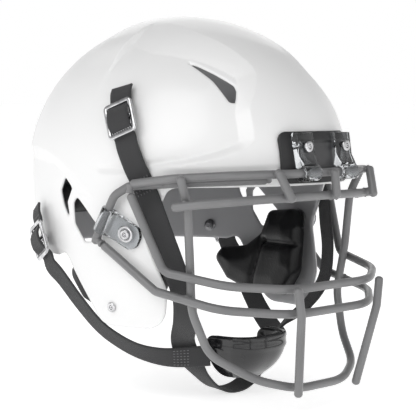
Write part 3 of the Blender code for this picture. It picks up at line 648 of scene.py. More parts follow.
def sweep(path, section, facing=None, closed=False, scales=None):
    """A section of (across, out) points swept along a path."""
    _, outs, across = frames_along(path, facing, closed)
    section = np.asarray(section, float)
    count, sides = len(path), len(section)
    scales = np.ones(count) if scales is None else np.asarray(scales)
    rows = (np.asarray(path)[:, None, :]
            + across[:, None, :] * (section[None, :, 0:1] * scales[:, None, None])
            + outs[:, None, :] * (section[None, :, 1:2] * scales[:, None, None]))
    points = rows.reshape(-1, 3)
    faces = []
    for row in range(count if closed else count - 1):
        low, high = row * sides, (row + 1) % count * sides
        for k in range(sides):
            n = (k + 1) % sides
            faces += [(low + k, low + n, high + n), (low + k, high + n, high + k)]
    if not closed:
        start, end = len(points), len(points) + 1
        points = np.vstack((points, path[0], path[-1]))
        for k in range(sides):
            n = (k + 1) % sides
            base = (count - 1) * sides
            faces += [(start, n, k), (end, base + k, base + n)]
    return points, np.array(faces)


def round_section(radius, sides=20):
    return [(radius * math.cos(t), radius * math.sin(t)) for t in np.arange(sides) * -2 * math.pi / sides]


def domed_tube(path, radius, sides=20):
    """A tube with rounded ends."""
    path = [np.array(p, float) for p in path]
    start = (path[0] - path[1]) / np.linalg.norm(path[0] - path[1])
    end = (path[-1] - path[-2]) / np.linalg.norm(path[-1] - path[-2])
    angles = [math.radians(a) for a in (8, 30, 52, 72)]
    # The domes lie inside the path's own length.
    inset = radius * 0.8
    head = [path[0] + start * (radius * 0.8 * math.cos(a) - inset) for a in angles]
    tail = [path[-1] + end * (radius * 0.8 * math.cos(a) - inset) for a in angles]
    caps = [math.sin(a) for a in angles]
    body = [path[0] - start * inset] + path[1:-1] + [path[-1] - end * inset]
    scales = caps + [1.0] * len(body) + caps[::-1]
    return sweep(np.array(head + body + tail[::-1]), round_section(radius, sides), scales=scales)


def bevelled_prism(outline, depth, place, width, hole=None):
    """An extruded outline with rounded edges, as points and faces."""
    bm = bmesh.new()
    edges = []
    for loop in (outline,) if hole is None else (outline, hole):
        verts = [bm.verts.new((u, v, -depth / 2)) for u, v in loop]
        edges += [bm.edges.new((verts[k - 1], verts[k])) for k in range(len(verts))]
    bmesh.ops.triangle_fill(bm, edges=edges, use_beauty=True)
    bmesh.ops.dissolve_limit(bm, angle_limit=0.01, verts=bm.verts, edges=bm.edges)
    grown = bmesh.ops.extrude_face_region(bm, geom=bm.faces[:])
    top = [part for part in grown["geom"] if isinstance(part, bmesh.types.BMVert)]
    bmesh.ops.translate(bm, vec=(0, 0, depth), verts=top)
    bmesh.ops.recalc_face_normals(bm, faces=bm.faces)
    sharp = [e for e in bm.edges if e.is_manifold and e.calc_face_angle() > 0.9]
    bmesh.ops.bevel(bm, geom=sharp, offset=width, segments=3, profile=0.5, affect="EDGES", clamp_overlap=True)
    bmesh.ops.triangulate(bm, faces=bm.faces)
    bm.verts.index_update()
    points = placed(np.array([tuple(v.co) for v in bm.verts]), place)
    faces = np.array([[v.index for v in f.verts] for f in bm.faces])
    bm.free()
    return points, faces


def joined(*shapes):
    """Several closed shapes as one mesh's points and faces."""
    points, faces, count = [], [], 0
    for shape_points, shape_faces in shapes:
        points.append(shape_points)
        faces.append(shape_faces + count)
        count += len(shape_points)
    return np.vstack(points), np.vstack(faces)


def smooth_path(stops, step=2.5):
    """A smooth curve through stops (any number of columns), with even steps."""
    stops = np.asarray(stops, float)
    padded = np.vstack((2 * stops[0] - stops[1], stops, 2 * stops[-1] - stops[-2]))
    rows = []
    for k in range(1, len(padded) - 2):
        a, b, c, d = padded[k - 1:k + 3]
        count = max(2, int(np.linalg.norm((c - b)[:3]) / step))
        for t in np.arange(count) / count:
            rows.append(0.5 * (2 * b + (c - a) * t + (2 * a - 5 * b + 4 * c - d) * t * t
                               + (3 * b - a - 3 * c + d) * t ** 3))
    rows.append(stops[-1])
    return np.array(rows)


def finish_piece(name, shape, material, body, replaced=(), side=-1, sharp=None):
    points, faces = shape
    piece = mesh_object(name, flip(points, side), outward(faces, side), (material,))
    if sharp is not None:
        piece.data.set_sharp_from_angle(angle=math.radians(sharp))
    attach(piece, body)
    if replaced:
        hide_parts(*replaced)
    return piece


# ---------------------------------------------------------------- facemask

WIRE = 3.5
PERIMETER = [(-122, -9.5, -35), (-122, -33.5, 5.5, 16), (-117.5, -46, 13.2, 10),
             (-107.5, -85, 16.2, 40), (-77.5, -124.5, 18.3, 40), (-55, -138.9, 19)]
BROW = [(-124.6, -55, 15.5), (-113, -91, 20.6, 40), (-83.5, -129.5, 23.2, 60), (-42, -155, 24, 25)]
SIGHT = [(-117.4, -93, -2), (-105, -113.5, 1, 40), (-84, -137, 3.5, 50), (-45, -157, 5.5, 60)]
UPPER_JAW = [(-125.5, -54.8, 8.1), (-112.7, -80, -54, 12), (-94, -131, -63, 40), (-50, -161, -67, 60)]
LOWER_JAW = [(-121.5, -18.4, -34.9), (-107.8, -66, -71, 10), (-96, -124.5, -82, 40), (-50, -161, -87, 60)]
CAGE = [(-116.4, -101.6, 23), (-104, -97.6, 0, 40), (-99.5, -96, -45, 60), (-93.3, -92, -86, 40),
        (-86, -104, -121, 30), (-62, -134, -141, 50), (-30, -149, -150, 60)]
BRIDGE_SIDE = [(-59, -152.5, 27), (-52, -163, 2)]
BRIDGE_CENTRE = [(0, -162.3, 26.5), (0, -165.2, 3)]
CHIN_STRUT = [(-53, -168.6, -64), (-49, -169, -88, 10), (-37, -156, -155)]


def wire_path(points):
    """A bent wire through (x, y, z, radius) points, as straight runs and arcs."""
    places = [Vector(p[:3]) for p in points]
    path = [places[0]]
    for k in range(1, len(points) - 1):
        path += corner_arc(places[k], places[k - 1] - places[k], places[k + 1] - places[k], points[k][3], 4.0)
    return np.array([tuple(p) for p in path + [places[-1]]])


def mirrored(points):
    return [(-p[0], *p[1:]) for p in points]


def even(path, step=3.0):
    """The same path with points at even steps."""
    gaps = np.linalg.norm(np.diff(path, axis=0), axis=1)
    run = np.concatenate(((0.0,), np.cumsum(gaps)))
    marks = np.linspace(0.0, run[-1], max(2, int(run[-1] / step)) + 1)
    return np.stack([np.interp(marks, run, path[:, k]) for k in range(3)], 1)


WELD_STRETCH = 1.25
BROW_WELD_STRETCH = 0.9         # keeps the toe clear of the front bumper as the mask swings up


def weld(a, b, along, stretch):
    """A fillet of coating between two crossing wires, stretched along the first."""
    gap = Vector(b) - Vector(a)
    reach = gap.length
    out = gap.normalized()
    profile = [(0, 0), (3.1, 0.01)]
    for part in np.linspace(0.08, 0.92, 9):
        waist = (2 * part - 1) ** 2
        profile.append((2.7 + 1.1 * waist, part * reach))
    profile += [(3.1, reach - 0.01), (0, reach)]
    points, faces = lathe(profile, 20)
    points[:, 0] *= stretch
    return placed(points, seat(Vector(a), out, along)), faces


def make_facemask():
    runs = {"brow_wire": BROW + mirrored(BROW)[::-1], "sight_wire": SIGHT + mirrored(SIGHT)[::-1],
            "upper_jaw_wire": UPPER_JAW + mirrored(UPPER_JAW)[::-1],
            "lower_jaw_wire": LOWER_JAW + mirrored(LOWER_JAW)[::-1], "cage_wire": CAGE + mirrored(CAGE)[::-1],
            "bridge_wire_centre": BRIDGE_CENTRE, "perimeter_wire_right": PERIMETER,
            "perimeter_wire_left": mirrored(PERIMETER), "bridge_wire_right": BRIDGE_SIDE,
            "bridge_wire_left": mirrored(BRIDGE_SIDE), "chin_strut_right": CHIN_STRUT,
            "chin_strut_left": mirrored(CHIN_STRUT)}
    paths = {}
    for name, points in runs.items():
        paths[name] = wire_path(points)
        finish_piece("coated_" + name, domed_tube(paths[name], WIRE, 24), COATING, "facemask",
                     (name,))
    make_welds({name: even(path, 1.0) for name, path in paths.items()})


def make_welds(paths):
    """Fillets wherever two wires pass within a touch of each other, one per meeting."""
    names = sorted(paths)
    welds = []
    for k, first in enumerate(names):
        for second in names[k + 1:]:
            a, b = paths[first], paths[second]
            stretch = BROW_WELD_STRETCH if "brow_wire" in (first, second) else WELD_STRETCH
            gaps = np.linalg.norm(a[:, None] - b[None], axis=2)
            near = gaps.min(1)
            while near.min() < 2 * WIRE + 1.6:
                i = int(near.argmin())
                j = int(gaps[i].argmin())
                along = a[min(i + 1, len(a) - 1)] - a[max(i - 1, 0)]
                welds.append(weld(a[i], b[j], tuple(along), stretch))
                near[np.linalg.norm(a - a[i], axis=1) < 30.0] = 99.0
    piece = mesh_object("mask_welds", *joined(*welds), (COATING,))
    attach(piece, "facemask")


# ---------------------------------------------------------------- clips and fasteners

BROW_PIVOT = (-155.0, 24.0)
CLIP_X, CLIP_WIDTH = 24.0, 20.0
LOOP_INNER, LOOP_OUTER = WIRE + 0.5, 6.8
TOP_SCREW = (-24.0, 45.0)
SIDE_SCREW, JAW_SCREW = (-40.0, -26.0), (-16.0, -88.0)
STUDS = (("upper", (-33.0, 65.0)), ("lower", (70.0, -38.0)))
INNER_SEAT = -WALL - 0.9


def arc_points(centre, radius, start, stop, count):
    turns = np.radians(np.linspace(start, stop, count))
    return [(centre[0] + radius * math.cos(t), centre[1] + radius * math.sin(t)) for t in turns]


def make_top_clips():
    y, z = BROW_PIVOT
    outline = [(y + 11.6, 56.0)] + arc_points(BROW_PIVOT, LOOP_OUTER, 35, -235, 28)
    outline += [(y + 1.0, 38.0), (y + 3.6, 56.0)]
    hole = arc_points(BROW_PIVOT, LOOP_INNER, 0, 348.75, 32)
    for side, word in SIDES:
        place = Matrix(((0, 0, 1, -CLIP_X), (1, 0, 0, 0), (0, 1, 0, 0), (0, 0, 0, 1)))
        shape = bevelled_prism(outline, CLIP_WIDTH, place, 1.3, hole)
        finish_piece("clear_top_clip_" + word, shape, CLEAR, "helmet", ("top_clip_" + word,),
                     side, 40)


SIDE_WIRE_X, SIDE_WIRE_POINT, SIDE_WIRE_RUN = -122.0, (-21.4, -15.0), (-0.51, 0.86)
SIDE_CLIP_WIDTH, SIDE_CLIP_REACH, SIDE_SCREW_REACH, SIDE_LOOP_OUTER = 22.0, 34.0, 21.6, 5.6
SIDE_CLIP_UNDER = [(34, -12.6), (21.6, -9.6), (10, -7.1)]
SIDE_CLIP_OVER = [(10, -2.6), (21.6, -6.2), (34, -9.8)]


def side_clip_place():
    run = Vector((0.0, *SIDE_WIRE_RUN)).normalized()
    out = Vector((-1.0, 0.0, 0.0))
    place = Matrix((run.cross(out), out, run)).transposed().to_4x4()
    place.translation = Vector((SIDE_WIRE_X, *SIDE_WIRE_POINT))
    return place


def side_screw_place():
    tilt = math.atan2(SIDE_CLIP_OVER[2][1] - SIDE_CLIP_OVER[0][1], SIDE_CLIP_OVER[2][0] - SIDE_CLIP_OVER[0][0])
    spot = Matrix.Translation((SIDE_SCREW_REACH, SIDE_CLIP_OVER[1][1] + 0.3, 0.0))
    return side_clip_place() @ spot @ Matrix.Rotation(tilt, 4, "Z") @ Matrix.Rotation(-math.pi / 2, 4, "X")


def side_clip_shape():
    """A clip closed round the wire: cross-sections across its width, narrower at the tip."""
    loop = arc_points((0, 0), SIDE_LOOP_OUTER, 30, 275, 24)
    outline = loop + SIDE_CLIP_UNDER[::-1] + SIDE_CLIP_OVER[::-1]
    hole = arc_points((0, 0), LOOP_INNER - 0.2, 0, 348.75, 32)
    points, faces = bevelled_prism(outline, SIDE_CLIP_WIDTH, Matrix.Identity(4), 1.0, hole)
    return points, faces


def make_side_clips():
    place = side_clip_place()
    for side, word in SIDES:
        points, faces = side_clip_shape()
        clip = finish_piece("clear_side_clip_" + word, (placed(points, place), faces), CLEAR, "facemask",
                            ("side_clip_" + word,), side)
        round_tip(clip, side)
        clip.data.set_sharp_from_angle(angle=math.radians(40))
        finish_piece("side_clip_ring_" + word, (placed(*ring_shape()), ring_faces()), CHROME, "facemask",
                     (), side)


def ring_shape():
    """The metal eyelet moulded into the side clip round its screw."""
    section = [(4.6, 0.05), (6.9, 0.05), (7.1, 0.5), (6.7, 0.9), (4.9, 0.9), (4.6, 0.5)]
    turns = np.arange(40) * 2 * math.pi / 40
    points = [(r * math.cos(t), r * math.sin(t), h) for t in turns for r, h in section]
    return np.array(points), side_screw_place()


def ring_faces(sides=40, count=6):
    faces = []
    for row in range(sides):
        for k in range(count):
            a, b = row * count + k, row * count + (k + 1) % count
            c, d = (row + 1) % sides * count + (k + 1) % count, (row + 1) % sides * count + k
            faces += [(a, d, c), (a, c, b)]
    return np.array(faces)


def round_tip(clip, side):
    """Trim the clip's tip to a half round with an exact cut."""
    tip = rounded([(-20, -12, 0), (SIDE_CLIP_REACH, -12, 11.5), (SIDE_CLIP_REACH, 12, 11.5), (-20, 12, 0)])
    turn = Matrix(((1, 0, 0), (0, 0, 1), (0, 1, 0))).to_4x4()
    points, faces = bevelled_prism(tip, 60.0, side_clip_place() @ turn, 0.01)
    cutter = mesh_object("tip_cutter", flip(points, side), outward(faces, side), (CLEAR,))
    modifier = clip.modifiers.new("tip", "BOOLEAN")
    modifier.operation = "INTERSECT"
    modifier.object = cutter
    settle(clip)
    bpy.data.objects.remove(cutter)


def settle(piece):
    """Keep the evaluated mesh and drop the modifiers."""
    graph = bpy.context.evaluated_depsgraph_get()
    mesh = bpy.data.meshes.new_from_object(piece.evaluated_get(graph))
    piece.modifiers.clear()
    piece.data = mesh


def screw_head(radius, height, base, shank_end, shank=2.3):
    """A pan-head screw with a drive recess turned into its top."""
    top = base + height
    recess = 0.42 * radius
    return lathe([(0, shank_end), (shank, shank_end + 0.01), (shank, base - 0.02), (shank, base),
                  (radius - 0.3, base), (radius, base + 0.3), (radius, top - 0.9), (radius - 0.15, top - 0.5),
                  (radius - 0.6, top - 0.15), (radius * 0.66, top), (recess + 0.25, top), (recess, top - 0.2),
                  (recess * 0.9, top - 1.1), (0.3, top - 1.3), (0, top - 1.3)], 48)


def drive_hub(radius, top):
    """The raised slotted hub inside a quarter-turn drive recess."""
    halves = []
    for side in (-1, 1):
        place = Matrix.Translation((0, side * 0.17 * radius, top - 0.75))
        outline = [(-0.3 * radius, -0.09 * radius), (0.3 * radius, -0.09 * radius),
                   (0.3 * radius, 0.09 * radius), (-0.3 * radius, 0.09 * radius)]
        halves.append(bevelled_prism(outline, 1.1, place, 0.08))
    return joined(*halves)


def top_seat():
    x, z = TOP_SCREW
    place = Matrix(((1, 0, 0), (0, 0, -1), (0, 1, 0))).to_4x4()
    place.translation = one(lambda uv: end_points(uv, -1), x, z)[0]
    return place


def fastener(name, node, place, side, sizes, body="helmet"):
    radius, height, base, shank_end = sizes
    head = screw_head(radius, height, base, shank_end)
    points, faces = joined(head, drive_hub(radius, base + height))
    finish_piece(name, (placed(points, place), faces), CHROME, body, (node,), side, 35)


def nut_profile(flange, depth):
    seat_z = INNER_SEAT
    return [(0, seat_z - depth - 0.01), (3.0, seat_z - depth), (4.2, seat_z - depth + 0.4),
            (4.2, seat_z - 1.9), (flange - 0.4, seat_z - 1.5), (flange, seat_z - 1.1), (flange, seat_z - 0.3),
            (flange - 0.3, seat_z), (0, seat_z + 0.01)]


def make_fasteners():
    places = {"jaw": seat(*one(side_points, *JAW_SCREW)), "top_clip": top_seat()}
    for word, spot in STUDS:
        places[word + "_stud"] = seat(*one(side_points, *spot))
    sizes = {"top_clip": (4.6, 2.4, 14.0, -11.4), "jaw": (4.2, 1.8, 0.3, -10.0),
             "upper_stud": (6.5, 2.8, 0.3, -9.6), "lower_stud": (6.5, 2.8, 0.3, -9.6)}
    for side, word in SIDES:
        for use, place in places.items():
            node = use + ("_" if use.endswith("stud") else "_screw_") + word
            fastener("chrome_" + node, node, place, side, sizes[use])
            sunk = place @ Matrix.Translation((0, 0, -2.0 if use == "top_clip" else 0.0))
            points, faces = lathe(nut_profile(5.5, 4.5), 36)
            nut = use + "_nut_" + word
            finish_piece("steel_" + nut, (placed(points, sunk), faces), STEEL, "helmet",
                         (nut,), side, 35)
        socket = lathe(nut_profile(8.0, 5.5), 36)
        place = seat(*one(side_points, *SIDE_SCREW))
        finish_piece("steel_side_clip_socket_" + word, (placed(socket[0], place), socket[1]), STEEL, "helmet",
                     ("side_clip_socket_" + word,), side, 35)
        fastener("chrome_side_clip_screw_" + word, "side_clip_screw_" + word, side_screw_place(), side,
                 (4.2, 2.4, 0.0, -3.6), "side_screw_" + word)


# ---------------------------------------------------------------- bumpers

FRONT_BUMPER = box_outline(80, 40, 7, (0, 35.5))
FRONT_PLATE = box_outline(56, 19, 3, (0, 38))
REAR_BUMPER = box_outline(110, 28, 8, (0, -32))
REAR_PLATE = box_outline(86, 14, 4, (0, -32))


def bumper(name, node, outline, plate, end, base, thick):
    """A moulded rubber bumper with a blank recessed plate."""
    def outer(uv, depth):
        recess = smooth((inside_distance(uv, plate) + 0.6) / 1.2)
        crown = 0.5 * smooth(depth / 6.0)
        return base + thick + crown - 1.1 * recess

    def inner(uv, depth):
        return np.full(len(uv), base)

    creases = [lambda p: inside_distance(p, plate) + 0.6, lambda p: inside_distance(p, plate) - 0.6]
    points, faces, _ = slab(outline, lambda uv: end_points(uv, end), 2.0, 1.3, outer, inner, creases=creases)
    middle = points[faces].mean(1)[:, ::2]
    slots = (inside_distance(middle, plate) > 0).astype(int)
    piece = mesh_object(name, points, faces, (RUBBER, PLATE), slots)
    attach(piece, "helmet")
    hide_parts(node)


def make_bumpers():
    bumper("moulded_front_bumper", "front_bumper", FRONT_BUMPER, FRONT_PLATE, -1, PANEL_RAISE, 3.6)
    bumper("moulded_rear_bumper", "rear_bumper", REAR_BUMPER, REAR_PLATE, 1, -REAR_SINK + 0.2, 5.6)


# ---------------------------------------------------------------- straps and buckles

STRAP_WIDTH, STRAP_THICK, STRAP_LIFT = 20.0, 1.8, 4.2
BUCKLE_BASE, BUCKLE_SIZE, BUCKLE_THICK, BUCKLE_WINDOW = 7.4, (27.0, 31.0), 2.4, 11.0
UPPER_RUN, UPPER_BUCKLE = ((-21.0, 91.0), (-59.0, 3.0)), 0.30
LOWER_RUN, LOWER_BUCKLE = ((75.0, -14.0), (56.0, -52.0)), 0.60
UPPER_FREE = [((-108.5, -65, -8), (-1, -0.35, 0)), ((-104.5, -70, -26), (-1, -0.4, 0)),
              ((-99, -77, -50), (-1, -0.4, 0)), ((-90, -80, -76), (-1, -0.4, -0.1)),
              ((-79, -71, -98), (-1, -0.6, -0.3)), ((-65, -55, -116), (-0.7, -0.7, -0.35)),
              ((-53.5, -50, -131), (-0.7, -0.6, -0.5)), ((-38, -49, -149), (-0.6, 0, -1)),
              ((-19, -49, -163), (-0.25, 0.1, -1)), ((0, -49, -167), (0, 0.1, -1))]
LOWER_FREE = [((-111, 44, -68), (-1, 0.3, -0.1)), ((-106, 27, -88), (-1, 0.2, -0.3)),
              ((-100, 9, -107), (-1, 0.1, -0.5)), ((-93, -8, -119), (-1, 0, -0.6)),
              ((-85, -25, -127), (-1, -0.1, -0.6)), ((-74, -42, -131), (-1, -0.4, -0.5)),
              ((-61, -57, -131), (-1, -0.7, -0.3)), ((-46, -68, -130), (-1, -0.6, -0.1))]


def run_length(run):
    return math.dist(*run)


def on_run(run, part, lift):
    """Place and facing above the shell at a part of a straight run."""
    y, z = (a + (b - a) * part for a, b in zip(*run))
    point, out = one(side_points, y, z)
    return (*(point + out * lift), *out)


def band_section(width, thick):
    """A flat band with thicker rounded selvedges."""
    across = np.linspace(-width / 2 + 0.6, width / 2 - 0.6, 9)
    swell = thick / 2 * (1 + 0.12 * (abs(across) > width / 2 - 2.6))
    top = list(zip(across, swell))
    bottom = [(u, -v) for u, v in top[::-1]]
    return top + [(width / 2, 0.25 * thick), (width / 2, -0.25 * thick)] + bottom + [
        (-width / 2, -0.25 * thick), (-width / 2, 0.25 * thick)]


def strap(name, stations, width, node, side=-1):
    """A woven strap with its own uv: u across and v along, in millimetres."""
    rows = smooth_path(stations)
    section = band_section(width, STRAP_THICK)[::-1]
    points, faces = sweep(rows[:, :3], section, rows[:, 3:])
    piece = finish_piece(name, (points, faces), WEBBING, "helmet", (node,), side, 60)
    run = np.concatenate(((0.0,), np.cumsum(np.linalg.norm(np.diff(rows[:, :3], axis=0), axis=1))))
    flat = [(u, v) for v in run for u, _ in section] + [(0.0, run[0]), (0.0, run[-1])]
    layer = piece.data.uv_layers.new(name="strap")
    for loop in piece.data.loops:
        layer.data[loop.index].uv = flat[loop.vertex_index]
    return rows


def threaded(run, centre, lifts):
    """Stations that dip under a buckle's ends and rise over its middle bar."""
    reach = BUCKLE_SIZE[1] / 2 / run_length(run)
    low, high = STRAP_LIFT + STRAP_THICK / 2, BUCKLE_BASE + BUCKLE_THICK + 1.2 + STRAP_THICK / 2
    shape = [(-1.5, low), (-0.95, low), (-0.62, (low + high) / 2), (-0.3, high), (0.3, high),
             (0.62, (low + high) / 2), (0.95, low), (1.5, low)]
    stops = [on_run(run, centre + part * reach, lift) for part, lift in shape]
    before = [on_run(run, part, lift) for part, lift in lifts if part < centre - 1.6 * reach]
    after = [on_run(run, part, lift) for part, lift in lifts if part > centre + 1.6 * reach]
    return before + stops + after


def stitches(rows, start, width, side):
    """A box of stitches across a strap, near a row of its path."""
    _, outs, across = frames_along(rows[:, :3], rows[:, 3:])
    shapes = []
    for step in range(5):
        k = start + step
        for part in np.linspace(-0.36, 0.36, 6):
            middle = rows[k, :3] + across[k] * width * part + outs[k] * (STRAP_THICK / 2 + 0.12)
            ahead = rows[k + 1, :3] - rows[k, :3]
            ahead = ahead / np.linalg.norm(ahead)
            shapes.append(domed_tube([middle - ahead * 0.8, middle, middle + ahead * 0.8], 0.32, 8))
    return joined(*shapes)


def make_straps():
    half = threaded(UPPER_RUN, UPPER_BUCKLE, [(0.0, 3.4), (0.7, 3.4), (0.82, 1.5), (1.0, 1.4)])
    half = half + [(*place, *facing) for place, facing in UPPER_FREE]
    other = [(-x, y, z, -u, v, w) for x, y, z, u, v, w in half[-2::-1]]
    rows = strap("webbing_upper_chin_strap", half + other, STRAP_WIDTH, "upper_chin_strap")
    lower = threaded(LOWER_RUN, LOWER_BUCKLE, [(-0.12, 3.4)]) + [(*p, *f) for p, f in LOWER_FREE]
    for side, word in SIDES:
        name = "lower_chin_strap_" + word
        low_rows = strap("webbing_" + name, lower, STRAP_WIDTH * 0.9, name, side)
        marks = joined(stitches(low_rows, 4, STRAP_WIDTH * 0.9, side), stitches(low_rows, len(low_rows) - 12,
                       STRAP_WIDTH * 0.9, side), stitches(rows, 30, STRAP_WIDTH, side))
        finish_piece("strap_stitches_" + word, marks, THREAD, "helmet", (), side)
        for use, run, part in (("upper", UPPER_RUN, UPPER_BUCKLE), ("lower", LOWER_RUN, LOWER_BUCKLE)):
            make_buckle(use + "_buckle_" + word, run, part, side)


def make_buckle(name, run, part, side):
    """A chromed ladder buckle: a rounded frame, a middle bar and a toothed grip bar."""
    y, z = (a + (b - a) * part for a, b in zip(*run))
    place = seat(*one(side_points, y, z), (0.0, run[1][0] - run[0][0], run[1][1] - run[0][1]))
    width, length = BUCKLE_SIZE
    height = BUCKLE_BASE + BUCKLE_THICK / 2
    frame_line = [(u, v, height) for u, v in box_outline(length - 3.6, width - 3.6, 2.6)]
    section = [(1.8 * math.copysign(abs(math.cos(t)) ** 0.7, math.cos(t)),
                1.4 * math.copysign(abs(math.sin(t)) ** 0.7, math.sin(t)))
               for t in np.arange(20) * 2 * math.pi / 20]
    facing = [(0.0, 0.0, 1.0)] * len(frame_line)
    outer = sweep(np.array(frame_line), section, facing, closed=True)
    bar = domed_tube([(0, -width / 2 + 2.4, height), (0, 0, height), (0, width / 2 - 2.4, height)], 1.5, 16)
    grip = length / 2 - 3.4
    teeth = [bevelled_prism([(-0.7, -0.6), (0.9, 0.0), (-0.7, 0.6)], 1.5,
                            Matrix.Translation((grip - 0.9, v, height + 0.5)) @ Matrix.Rotation(math.pi, 4, "Z"),
                            0.1) for v in np.linspace(-width / 2 + 5, width / 2 - 5, 9)]
    points, faces = joined(outer, bar, *teeth)
    finish_piece("chrome_" + name, (placed(points, place), faces), CHROME, "helmet", (name,),
                 side, 50)


# ---------------------------------------------------------------- chin cup

CUP_CENTRE, CUP_RADII, CUP_POWER = np.array((0.0, -56.0, -120.0)), np.array((36.0, 40.0, 36.0)), 2.7
CUP_OUTLINE = rounded([(-86, -62, 22), (86, -62, 22), (96, 8, 14), (-96, 8, 14)])


def cup_points(uv):
    """Chin cup surface at azimuth and elevation in degrees; azimuth 0 is straight ahead."""
    turn, rise = np.radians(uv[:, 0]), np.radians(uv[:, 1])
    across, ahead = abs(np.sin(turn)) / CUP_RADII[0], abs(np.cos(turn)) / CUP_RADII[1]
    reach = np.cos(rise) / (across ** CUP_POWER + ahead ** CUP_POWER) ** (1 / CUP_POWER)
    return CUP_CENTRE + np.stack((reach * np.sin(turn), -reach * np.cos(turn), CUP_RADII[2] * np.sin(rise)), 1)


def cup_normals(points):
    arm = (points - CUP_CENTRE) / CUP_RADII
    plan = np.maximum(abs(arm[:, 0]) ** CUP_POWER + abs(arm[:, 1]) ** CUP_POWER, 1e-9)
    spread = plan ** (2 / CUP_POWER - 1)
    slope = np.stack((spread * np.sign(arm[:, 0]) * abs(arm[:, 0]) ** (CUP_POWER - 1) / CUP_RADII[0],
                      spread * np.sign(arm[:, 1]) * abs(arm[:, 1]) ** (CUP_POWER - 1) / CUP_RADII[1],
                      arm[:, 2] / CUP_RADII[2]), 1)
    return slope / np.linalg.norm(slope, axis=1)[:, None]


def make_chin_cup():
    """A hard cup with rolled rim and ribs, over a foam liner with vent dimples."""
    def shell_outer(uv, depth):
        rib = np.exp(-((uv[:, 1] + 8) / 3.5) ** 2) + np.exp(-((abs(uv[:, 0]) - 52) / 4.0) ** 2)
        rim = np.exp(-((depth - 4.0) / 2.4) ** 2)
        return 1.2 + 0.9 * rib * smooth(depth / 8) + 0.8 * rim

    def liner_inner(uv, depth):
        dimples = (np.cos(np.radians(uv[:, 0] * 9)) * np.cos(np.radians(uv[:, 1] * 11)) > 0.82)
        return -7.5 + 0.8 * dimples * smooth(depth / 8)

    flat = lambda value: (lambda uv, depth: np.full(len(uv), value))
    cup = slab(CUP_OUTLINE, cup_points, 2.6, 2.0, shell_outer, flat(-1.2), cup_normals)
    finish_piece("hard_chin_cup", cup[:2], CUP, "helmet", ("chin_cup",))
    liner = slab(CUP_OUTLINE, cup_points, 2.6, 4.0, flat(-1.7), liner_inner, cup_normals)
    piece = finish_piece("foam_chin_cup_liner", liner[:2], PAD, "helmet", ("chin_cup_liner",))


# ---------------------------------------------------------------- padding

PAD_BACK = -WALL - 1.2
PAD_BACK_BEHIND_NUTS = -WALL - 9.0
JAW_PAD = rounded([(-60, -34, 6), (-50, -17, 8), (-16, -20, 8), (-6, -42, 8), (14, -55, 10),
                   (45, -58, 6), (54, -68, 8), (36, -88, 8), (4, -98, 12), (-42, -98, 16),
                   (-61, -74, 12)])
SIDE_PAD = rounded([(-56, 26, 8), (-40, 74, 14), (52, 74, 14), (60, 26, 8)])
FRONT_PAD = box_outline(104, 36, 9, (0, 38))
REAR_PAD = box_outline(104, 56, 9, (0, 4))
CROWN_PAD = rounded([(-44, -62, 24), (44, -62, 24), (44, 76, 24), (-44, 76, 24)])


def line_gap(uv, start, end):
    """Distance from a stretch of seam."""
    a, b = np.array(start, float), np.array(end, float)
    run = b - a
    part = np.clip((uv - a) @ run / (run @ run), 0.0, 1.0)
    return np.linalg.norm(uv - a - part[:, None] * run, axis=1)


def pad(name, node, outline, surface, thick, back, seams, crown, radius, side=-1):
    """A moulded foam pad: crowned towards the head, pinched along its seams."""
    def inner(uv, depth):
        swell = thick - crown + crown * smooth(depth / 16.0)
        for start, end in seams:
            gap = line_gap(uv, start, end)
            swell = swell - 0.22 * thick * np.exp(-(gap / 1.8) ** 2) - 0.08 * thick * np.exp(-(gap / 5.0) ** 2)
        edge = np.maximum(radius - depth, 0.0)
        swell = swell - (radius - np.sqrt(np.maximum(radius ** 2 - edge ** 2, 0.0)))
        return back - np.maximum(swell, 1.0)

    def outer(uv, depth):
        return np.full(len(uv), back)

    points, faces, _ = slab(outline, surface, 2.2, 1.0, outer, inner)
    piece = finish_piece(name, (points, faces), PAD, "helmet", (node,), side)


def make_pads():
    for side, word in SIDES:
        pad("foam_jaw_pad_" + word, "jaw_pad_" + word, JAW_PAD, side_points, 17.0, PAD_BACK_BEHIND_NUTS,
            [((-60, -50), (-12, -50)), ((-12, -50), (2, -98))], 4.0, 4.5, side)
        pad("foam_side_pad_" + word, "side_pad_" + word, SIDE_PAD, side_points, 12.0, PAD_BACK_BEHIND_NUTS,
            [((-16, 20), (-12, 80)), ((24, 20), (22, 80))], 3.0, 5.0, side)
    front = lambda uv: end_points(uv, -1)
    rear = lambda uv: end_points(uv, 1)
    pad("foam_front_pad", "front_pad", FRONT_PAD, front, 12.0, PAD_BACK_BEHIND_NUTS,
        [((-18, 18), (-18, 58)), ((18, 18), (18, 58))], 3.0, 5.0)
    pad("foam_rear_pad", "rear_pad", REAR_PAD, rear, 16.0, PAD_BACK,
        [((-54, 4), (54, 4)), ((-18, -26), (-18, 34)), ((18, -26), (18, 34))], 4.0, 6.0)
    pad("foam_crown_pad", "crown_pad", CROWN_PAD, top_points, 18.0, PAD_BACK,
        [((0, -62), (0, 76)), ((-46, -14), (46, -14)), ((-46, 32), (46, 32))], 4.0, 7.0)


# ---------------------------------------------------------------- stage, light and camera

FLOOR_SIZE = 160.0
CAMERA_PLACE = (-962.0, -920.0, 82.0)
CAMERA_TILT, CAMERA_AZIMUTH = 4.07, -47.0
LENS, SENSOR = 131.2, 36.0


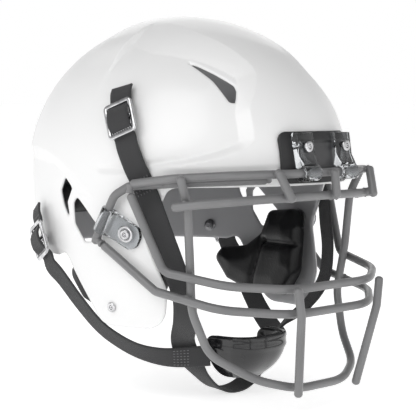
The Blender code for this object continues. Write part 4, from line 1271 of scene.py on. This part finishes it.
def make_stage():
    bm = bmesh.new()
    bmesh.ops.create_grid(bm, x_segments=8, y_segments=8, size=FLOOR_SIZE / 2)
    mesh = bpy.data.meshes.new("floor")
    bm.to_mesh(mesh)
    bm.free()
    material, tree, shader = nodes_of("floor", Roughness=0.9, Emission_Color=(1.0, 1.0, 1.0, 1.0),
                                      Emission_Strength=0.6)
    tree.links.new(ramp(tree, noise(tree, 0.8), 0.93, 0.96), shader.inputs["Base Color"])
    mesh.materials.append(material)
    link("floor", mesh)
    world = bpy.data.worlds.new("studio")
    world.use_nodes = True
    tree = world.node_tree
    background = tree.nodes["Background"]
    source = tree.nodes.new("ShaderNodeTexCoord")
    height = tree.nodes.new("ShaderNodeSeparateXYZ")
    tree.links.new(source.outputs["Generated"], height.inputs["Vector"])
    tree.links.new(ramp(tree, height.outputs["Z"], 1.0, 0.30, 0.12, 0.60), background.inputs["Color"])
    bpy.context.scene.world = world
    bpy.context.scene.view_settings.view_transform = "Standard"


def area_light(name, place, size, power, target=(0.0, 0.0, 0.18)):
    light = bpy.data.lights.new(name, "AREA")
    light.shape = "DISK"
    light.size = size
    light.energy = power
    lamp = link(name, light)
    lamp.location = place
    lamp.rotation_euler = (Vector(target) - Vector(place)).to_track_quat("-Z", "Y").to_euler()


def make_lights():
    area_light("key_light", (-1.9, -0.3, 1.8), 2.4, 26.0)
    area_light("front_light", (-0.4, -2.4, 0.9), 1.6, 3.0)
    area_light("rim_light", (1.3, 1.2, 1.3), 1.4, 4.0)


def make_camera():
    data = bpy.data.cameras.new("camera")
    data.lens = LENS
    data.sensor_width = SENSOR
    camera = link("camera", data)
    camera.location = (np.array(CAMERA_PLACE) + HEAD_FRAME) * MM
    camera.rotation_euler = (math.radians(90 - CAMERA_TILT), 0.0, math.radians(CAMERA_AZIMUTH))
    bpy.context.scene.camera = camera


make_shell()
make_facemask()
make_top_clips()
make_side_clips()
make_fasteners()
make_bumpers()
make_straps()
make_chin_cup()
make_pads()
make_stage()
make_lights()
make_camera()
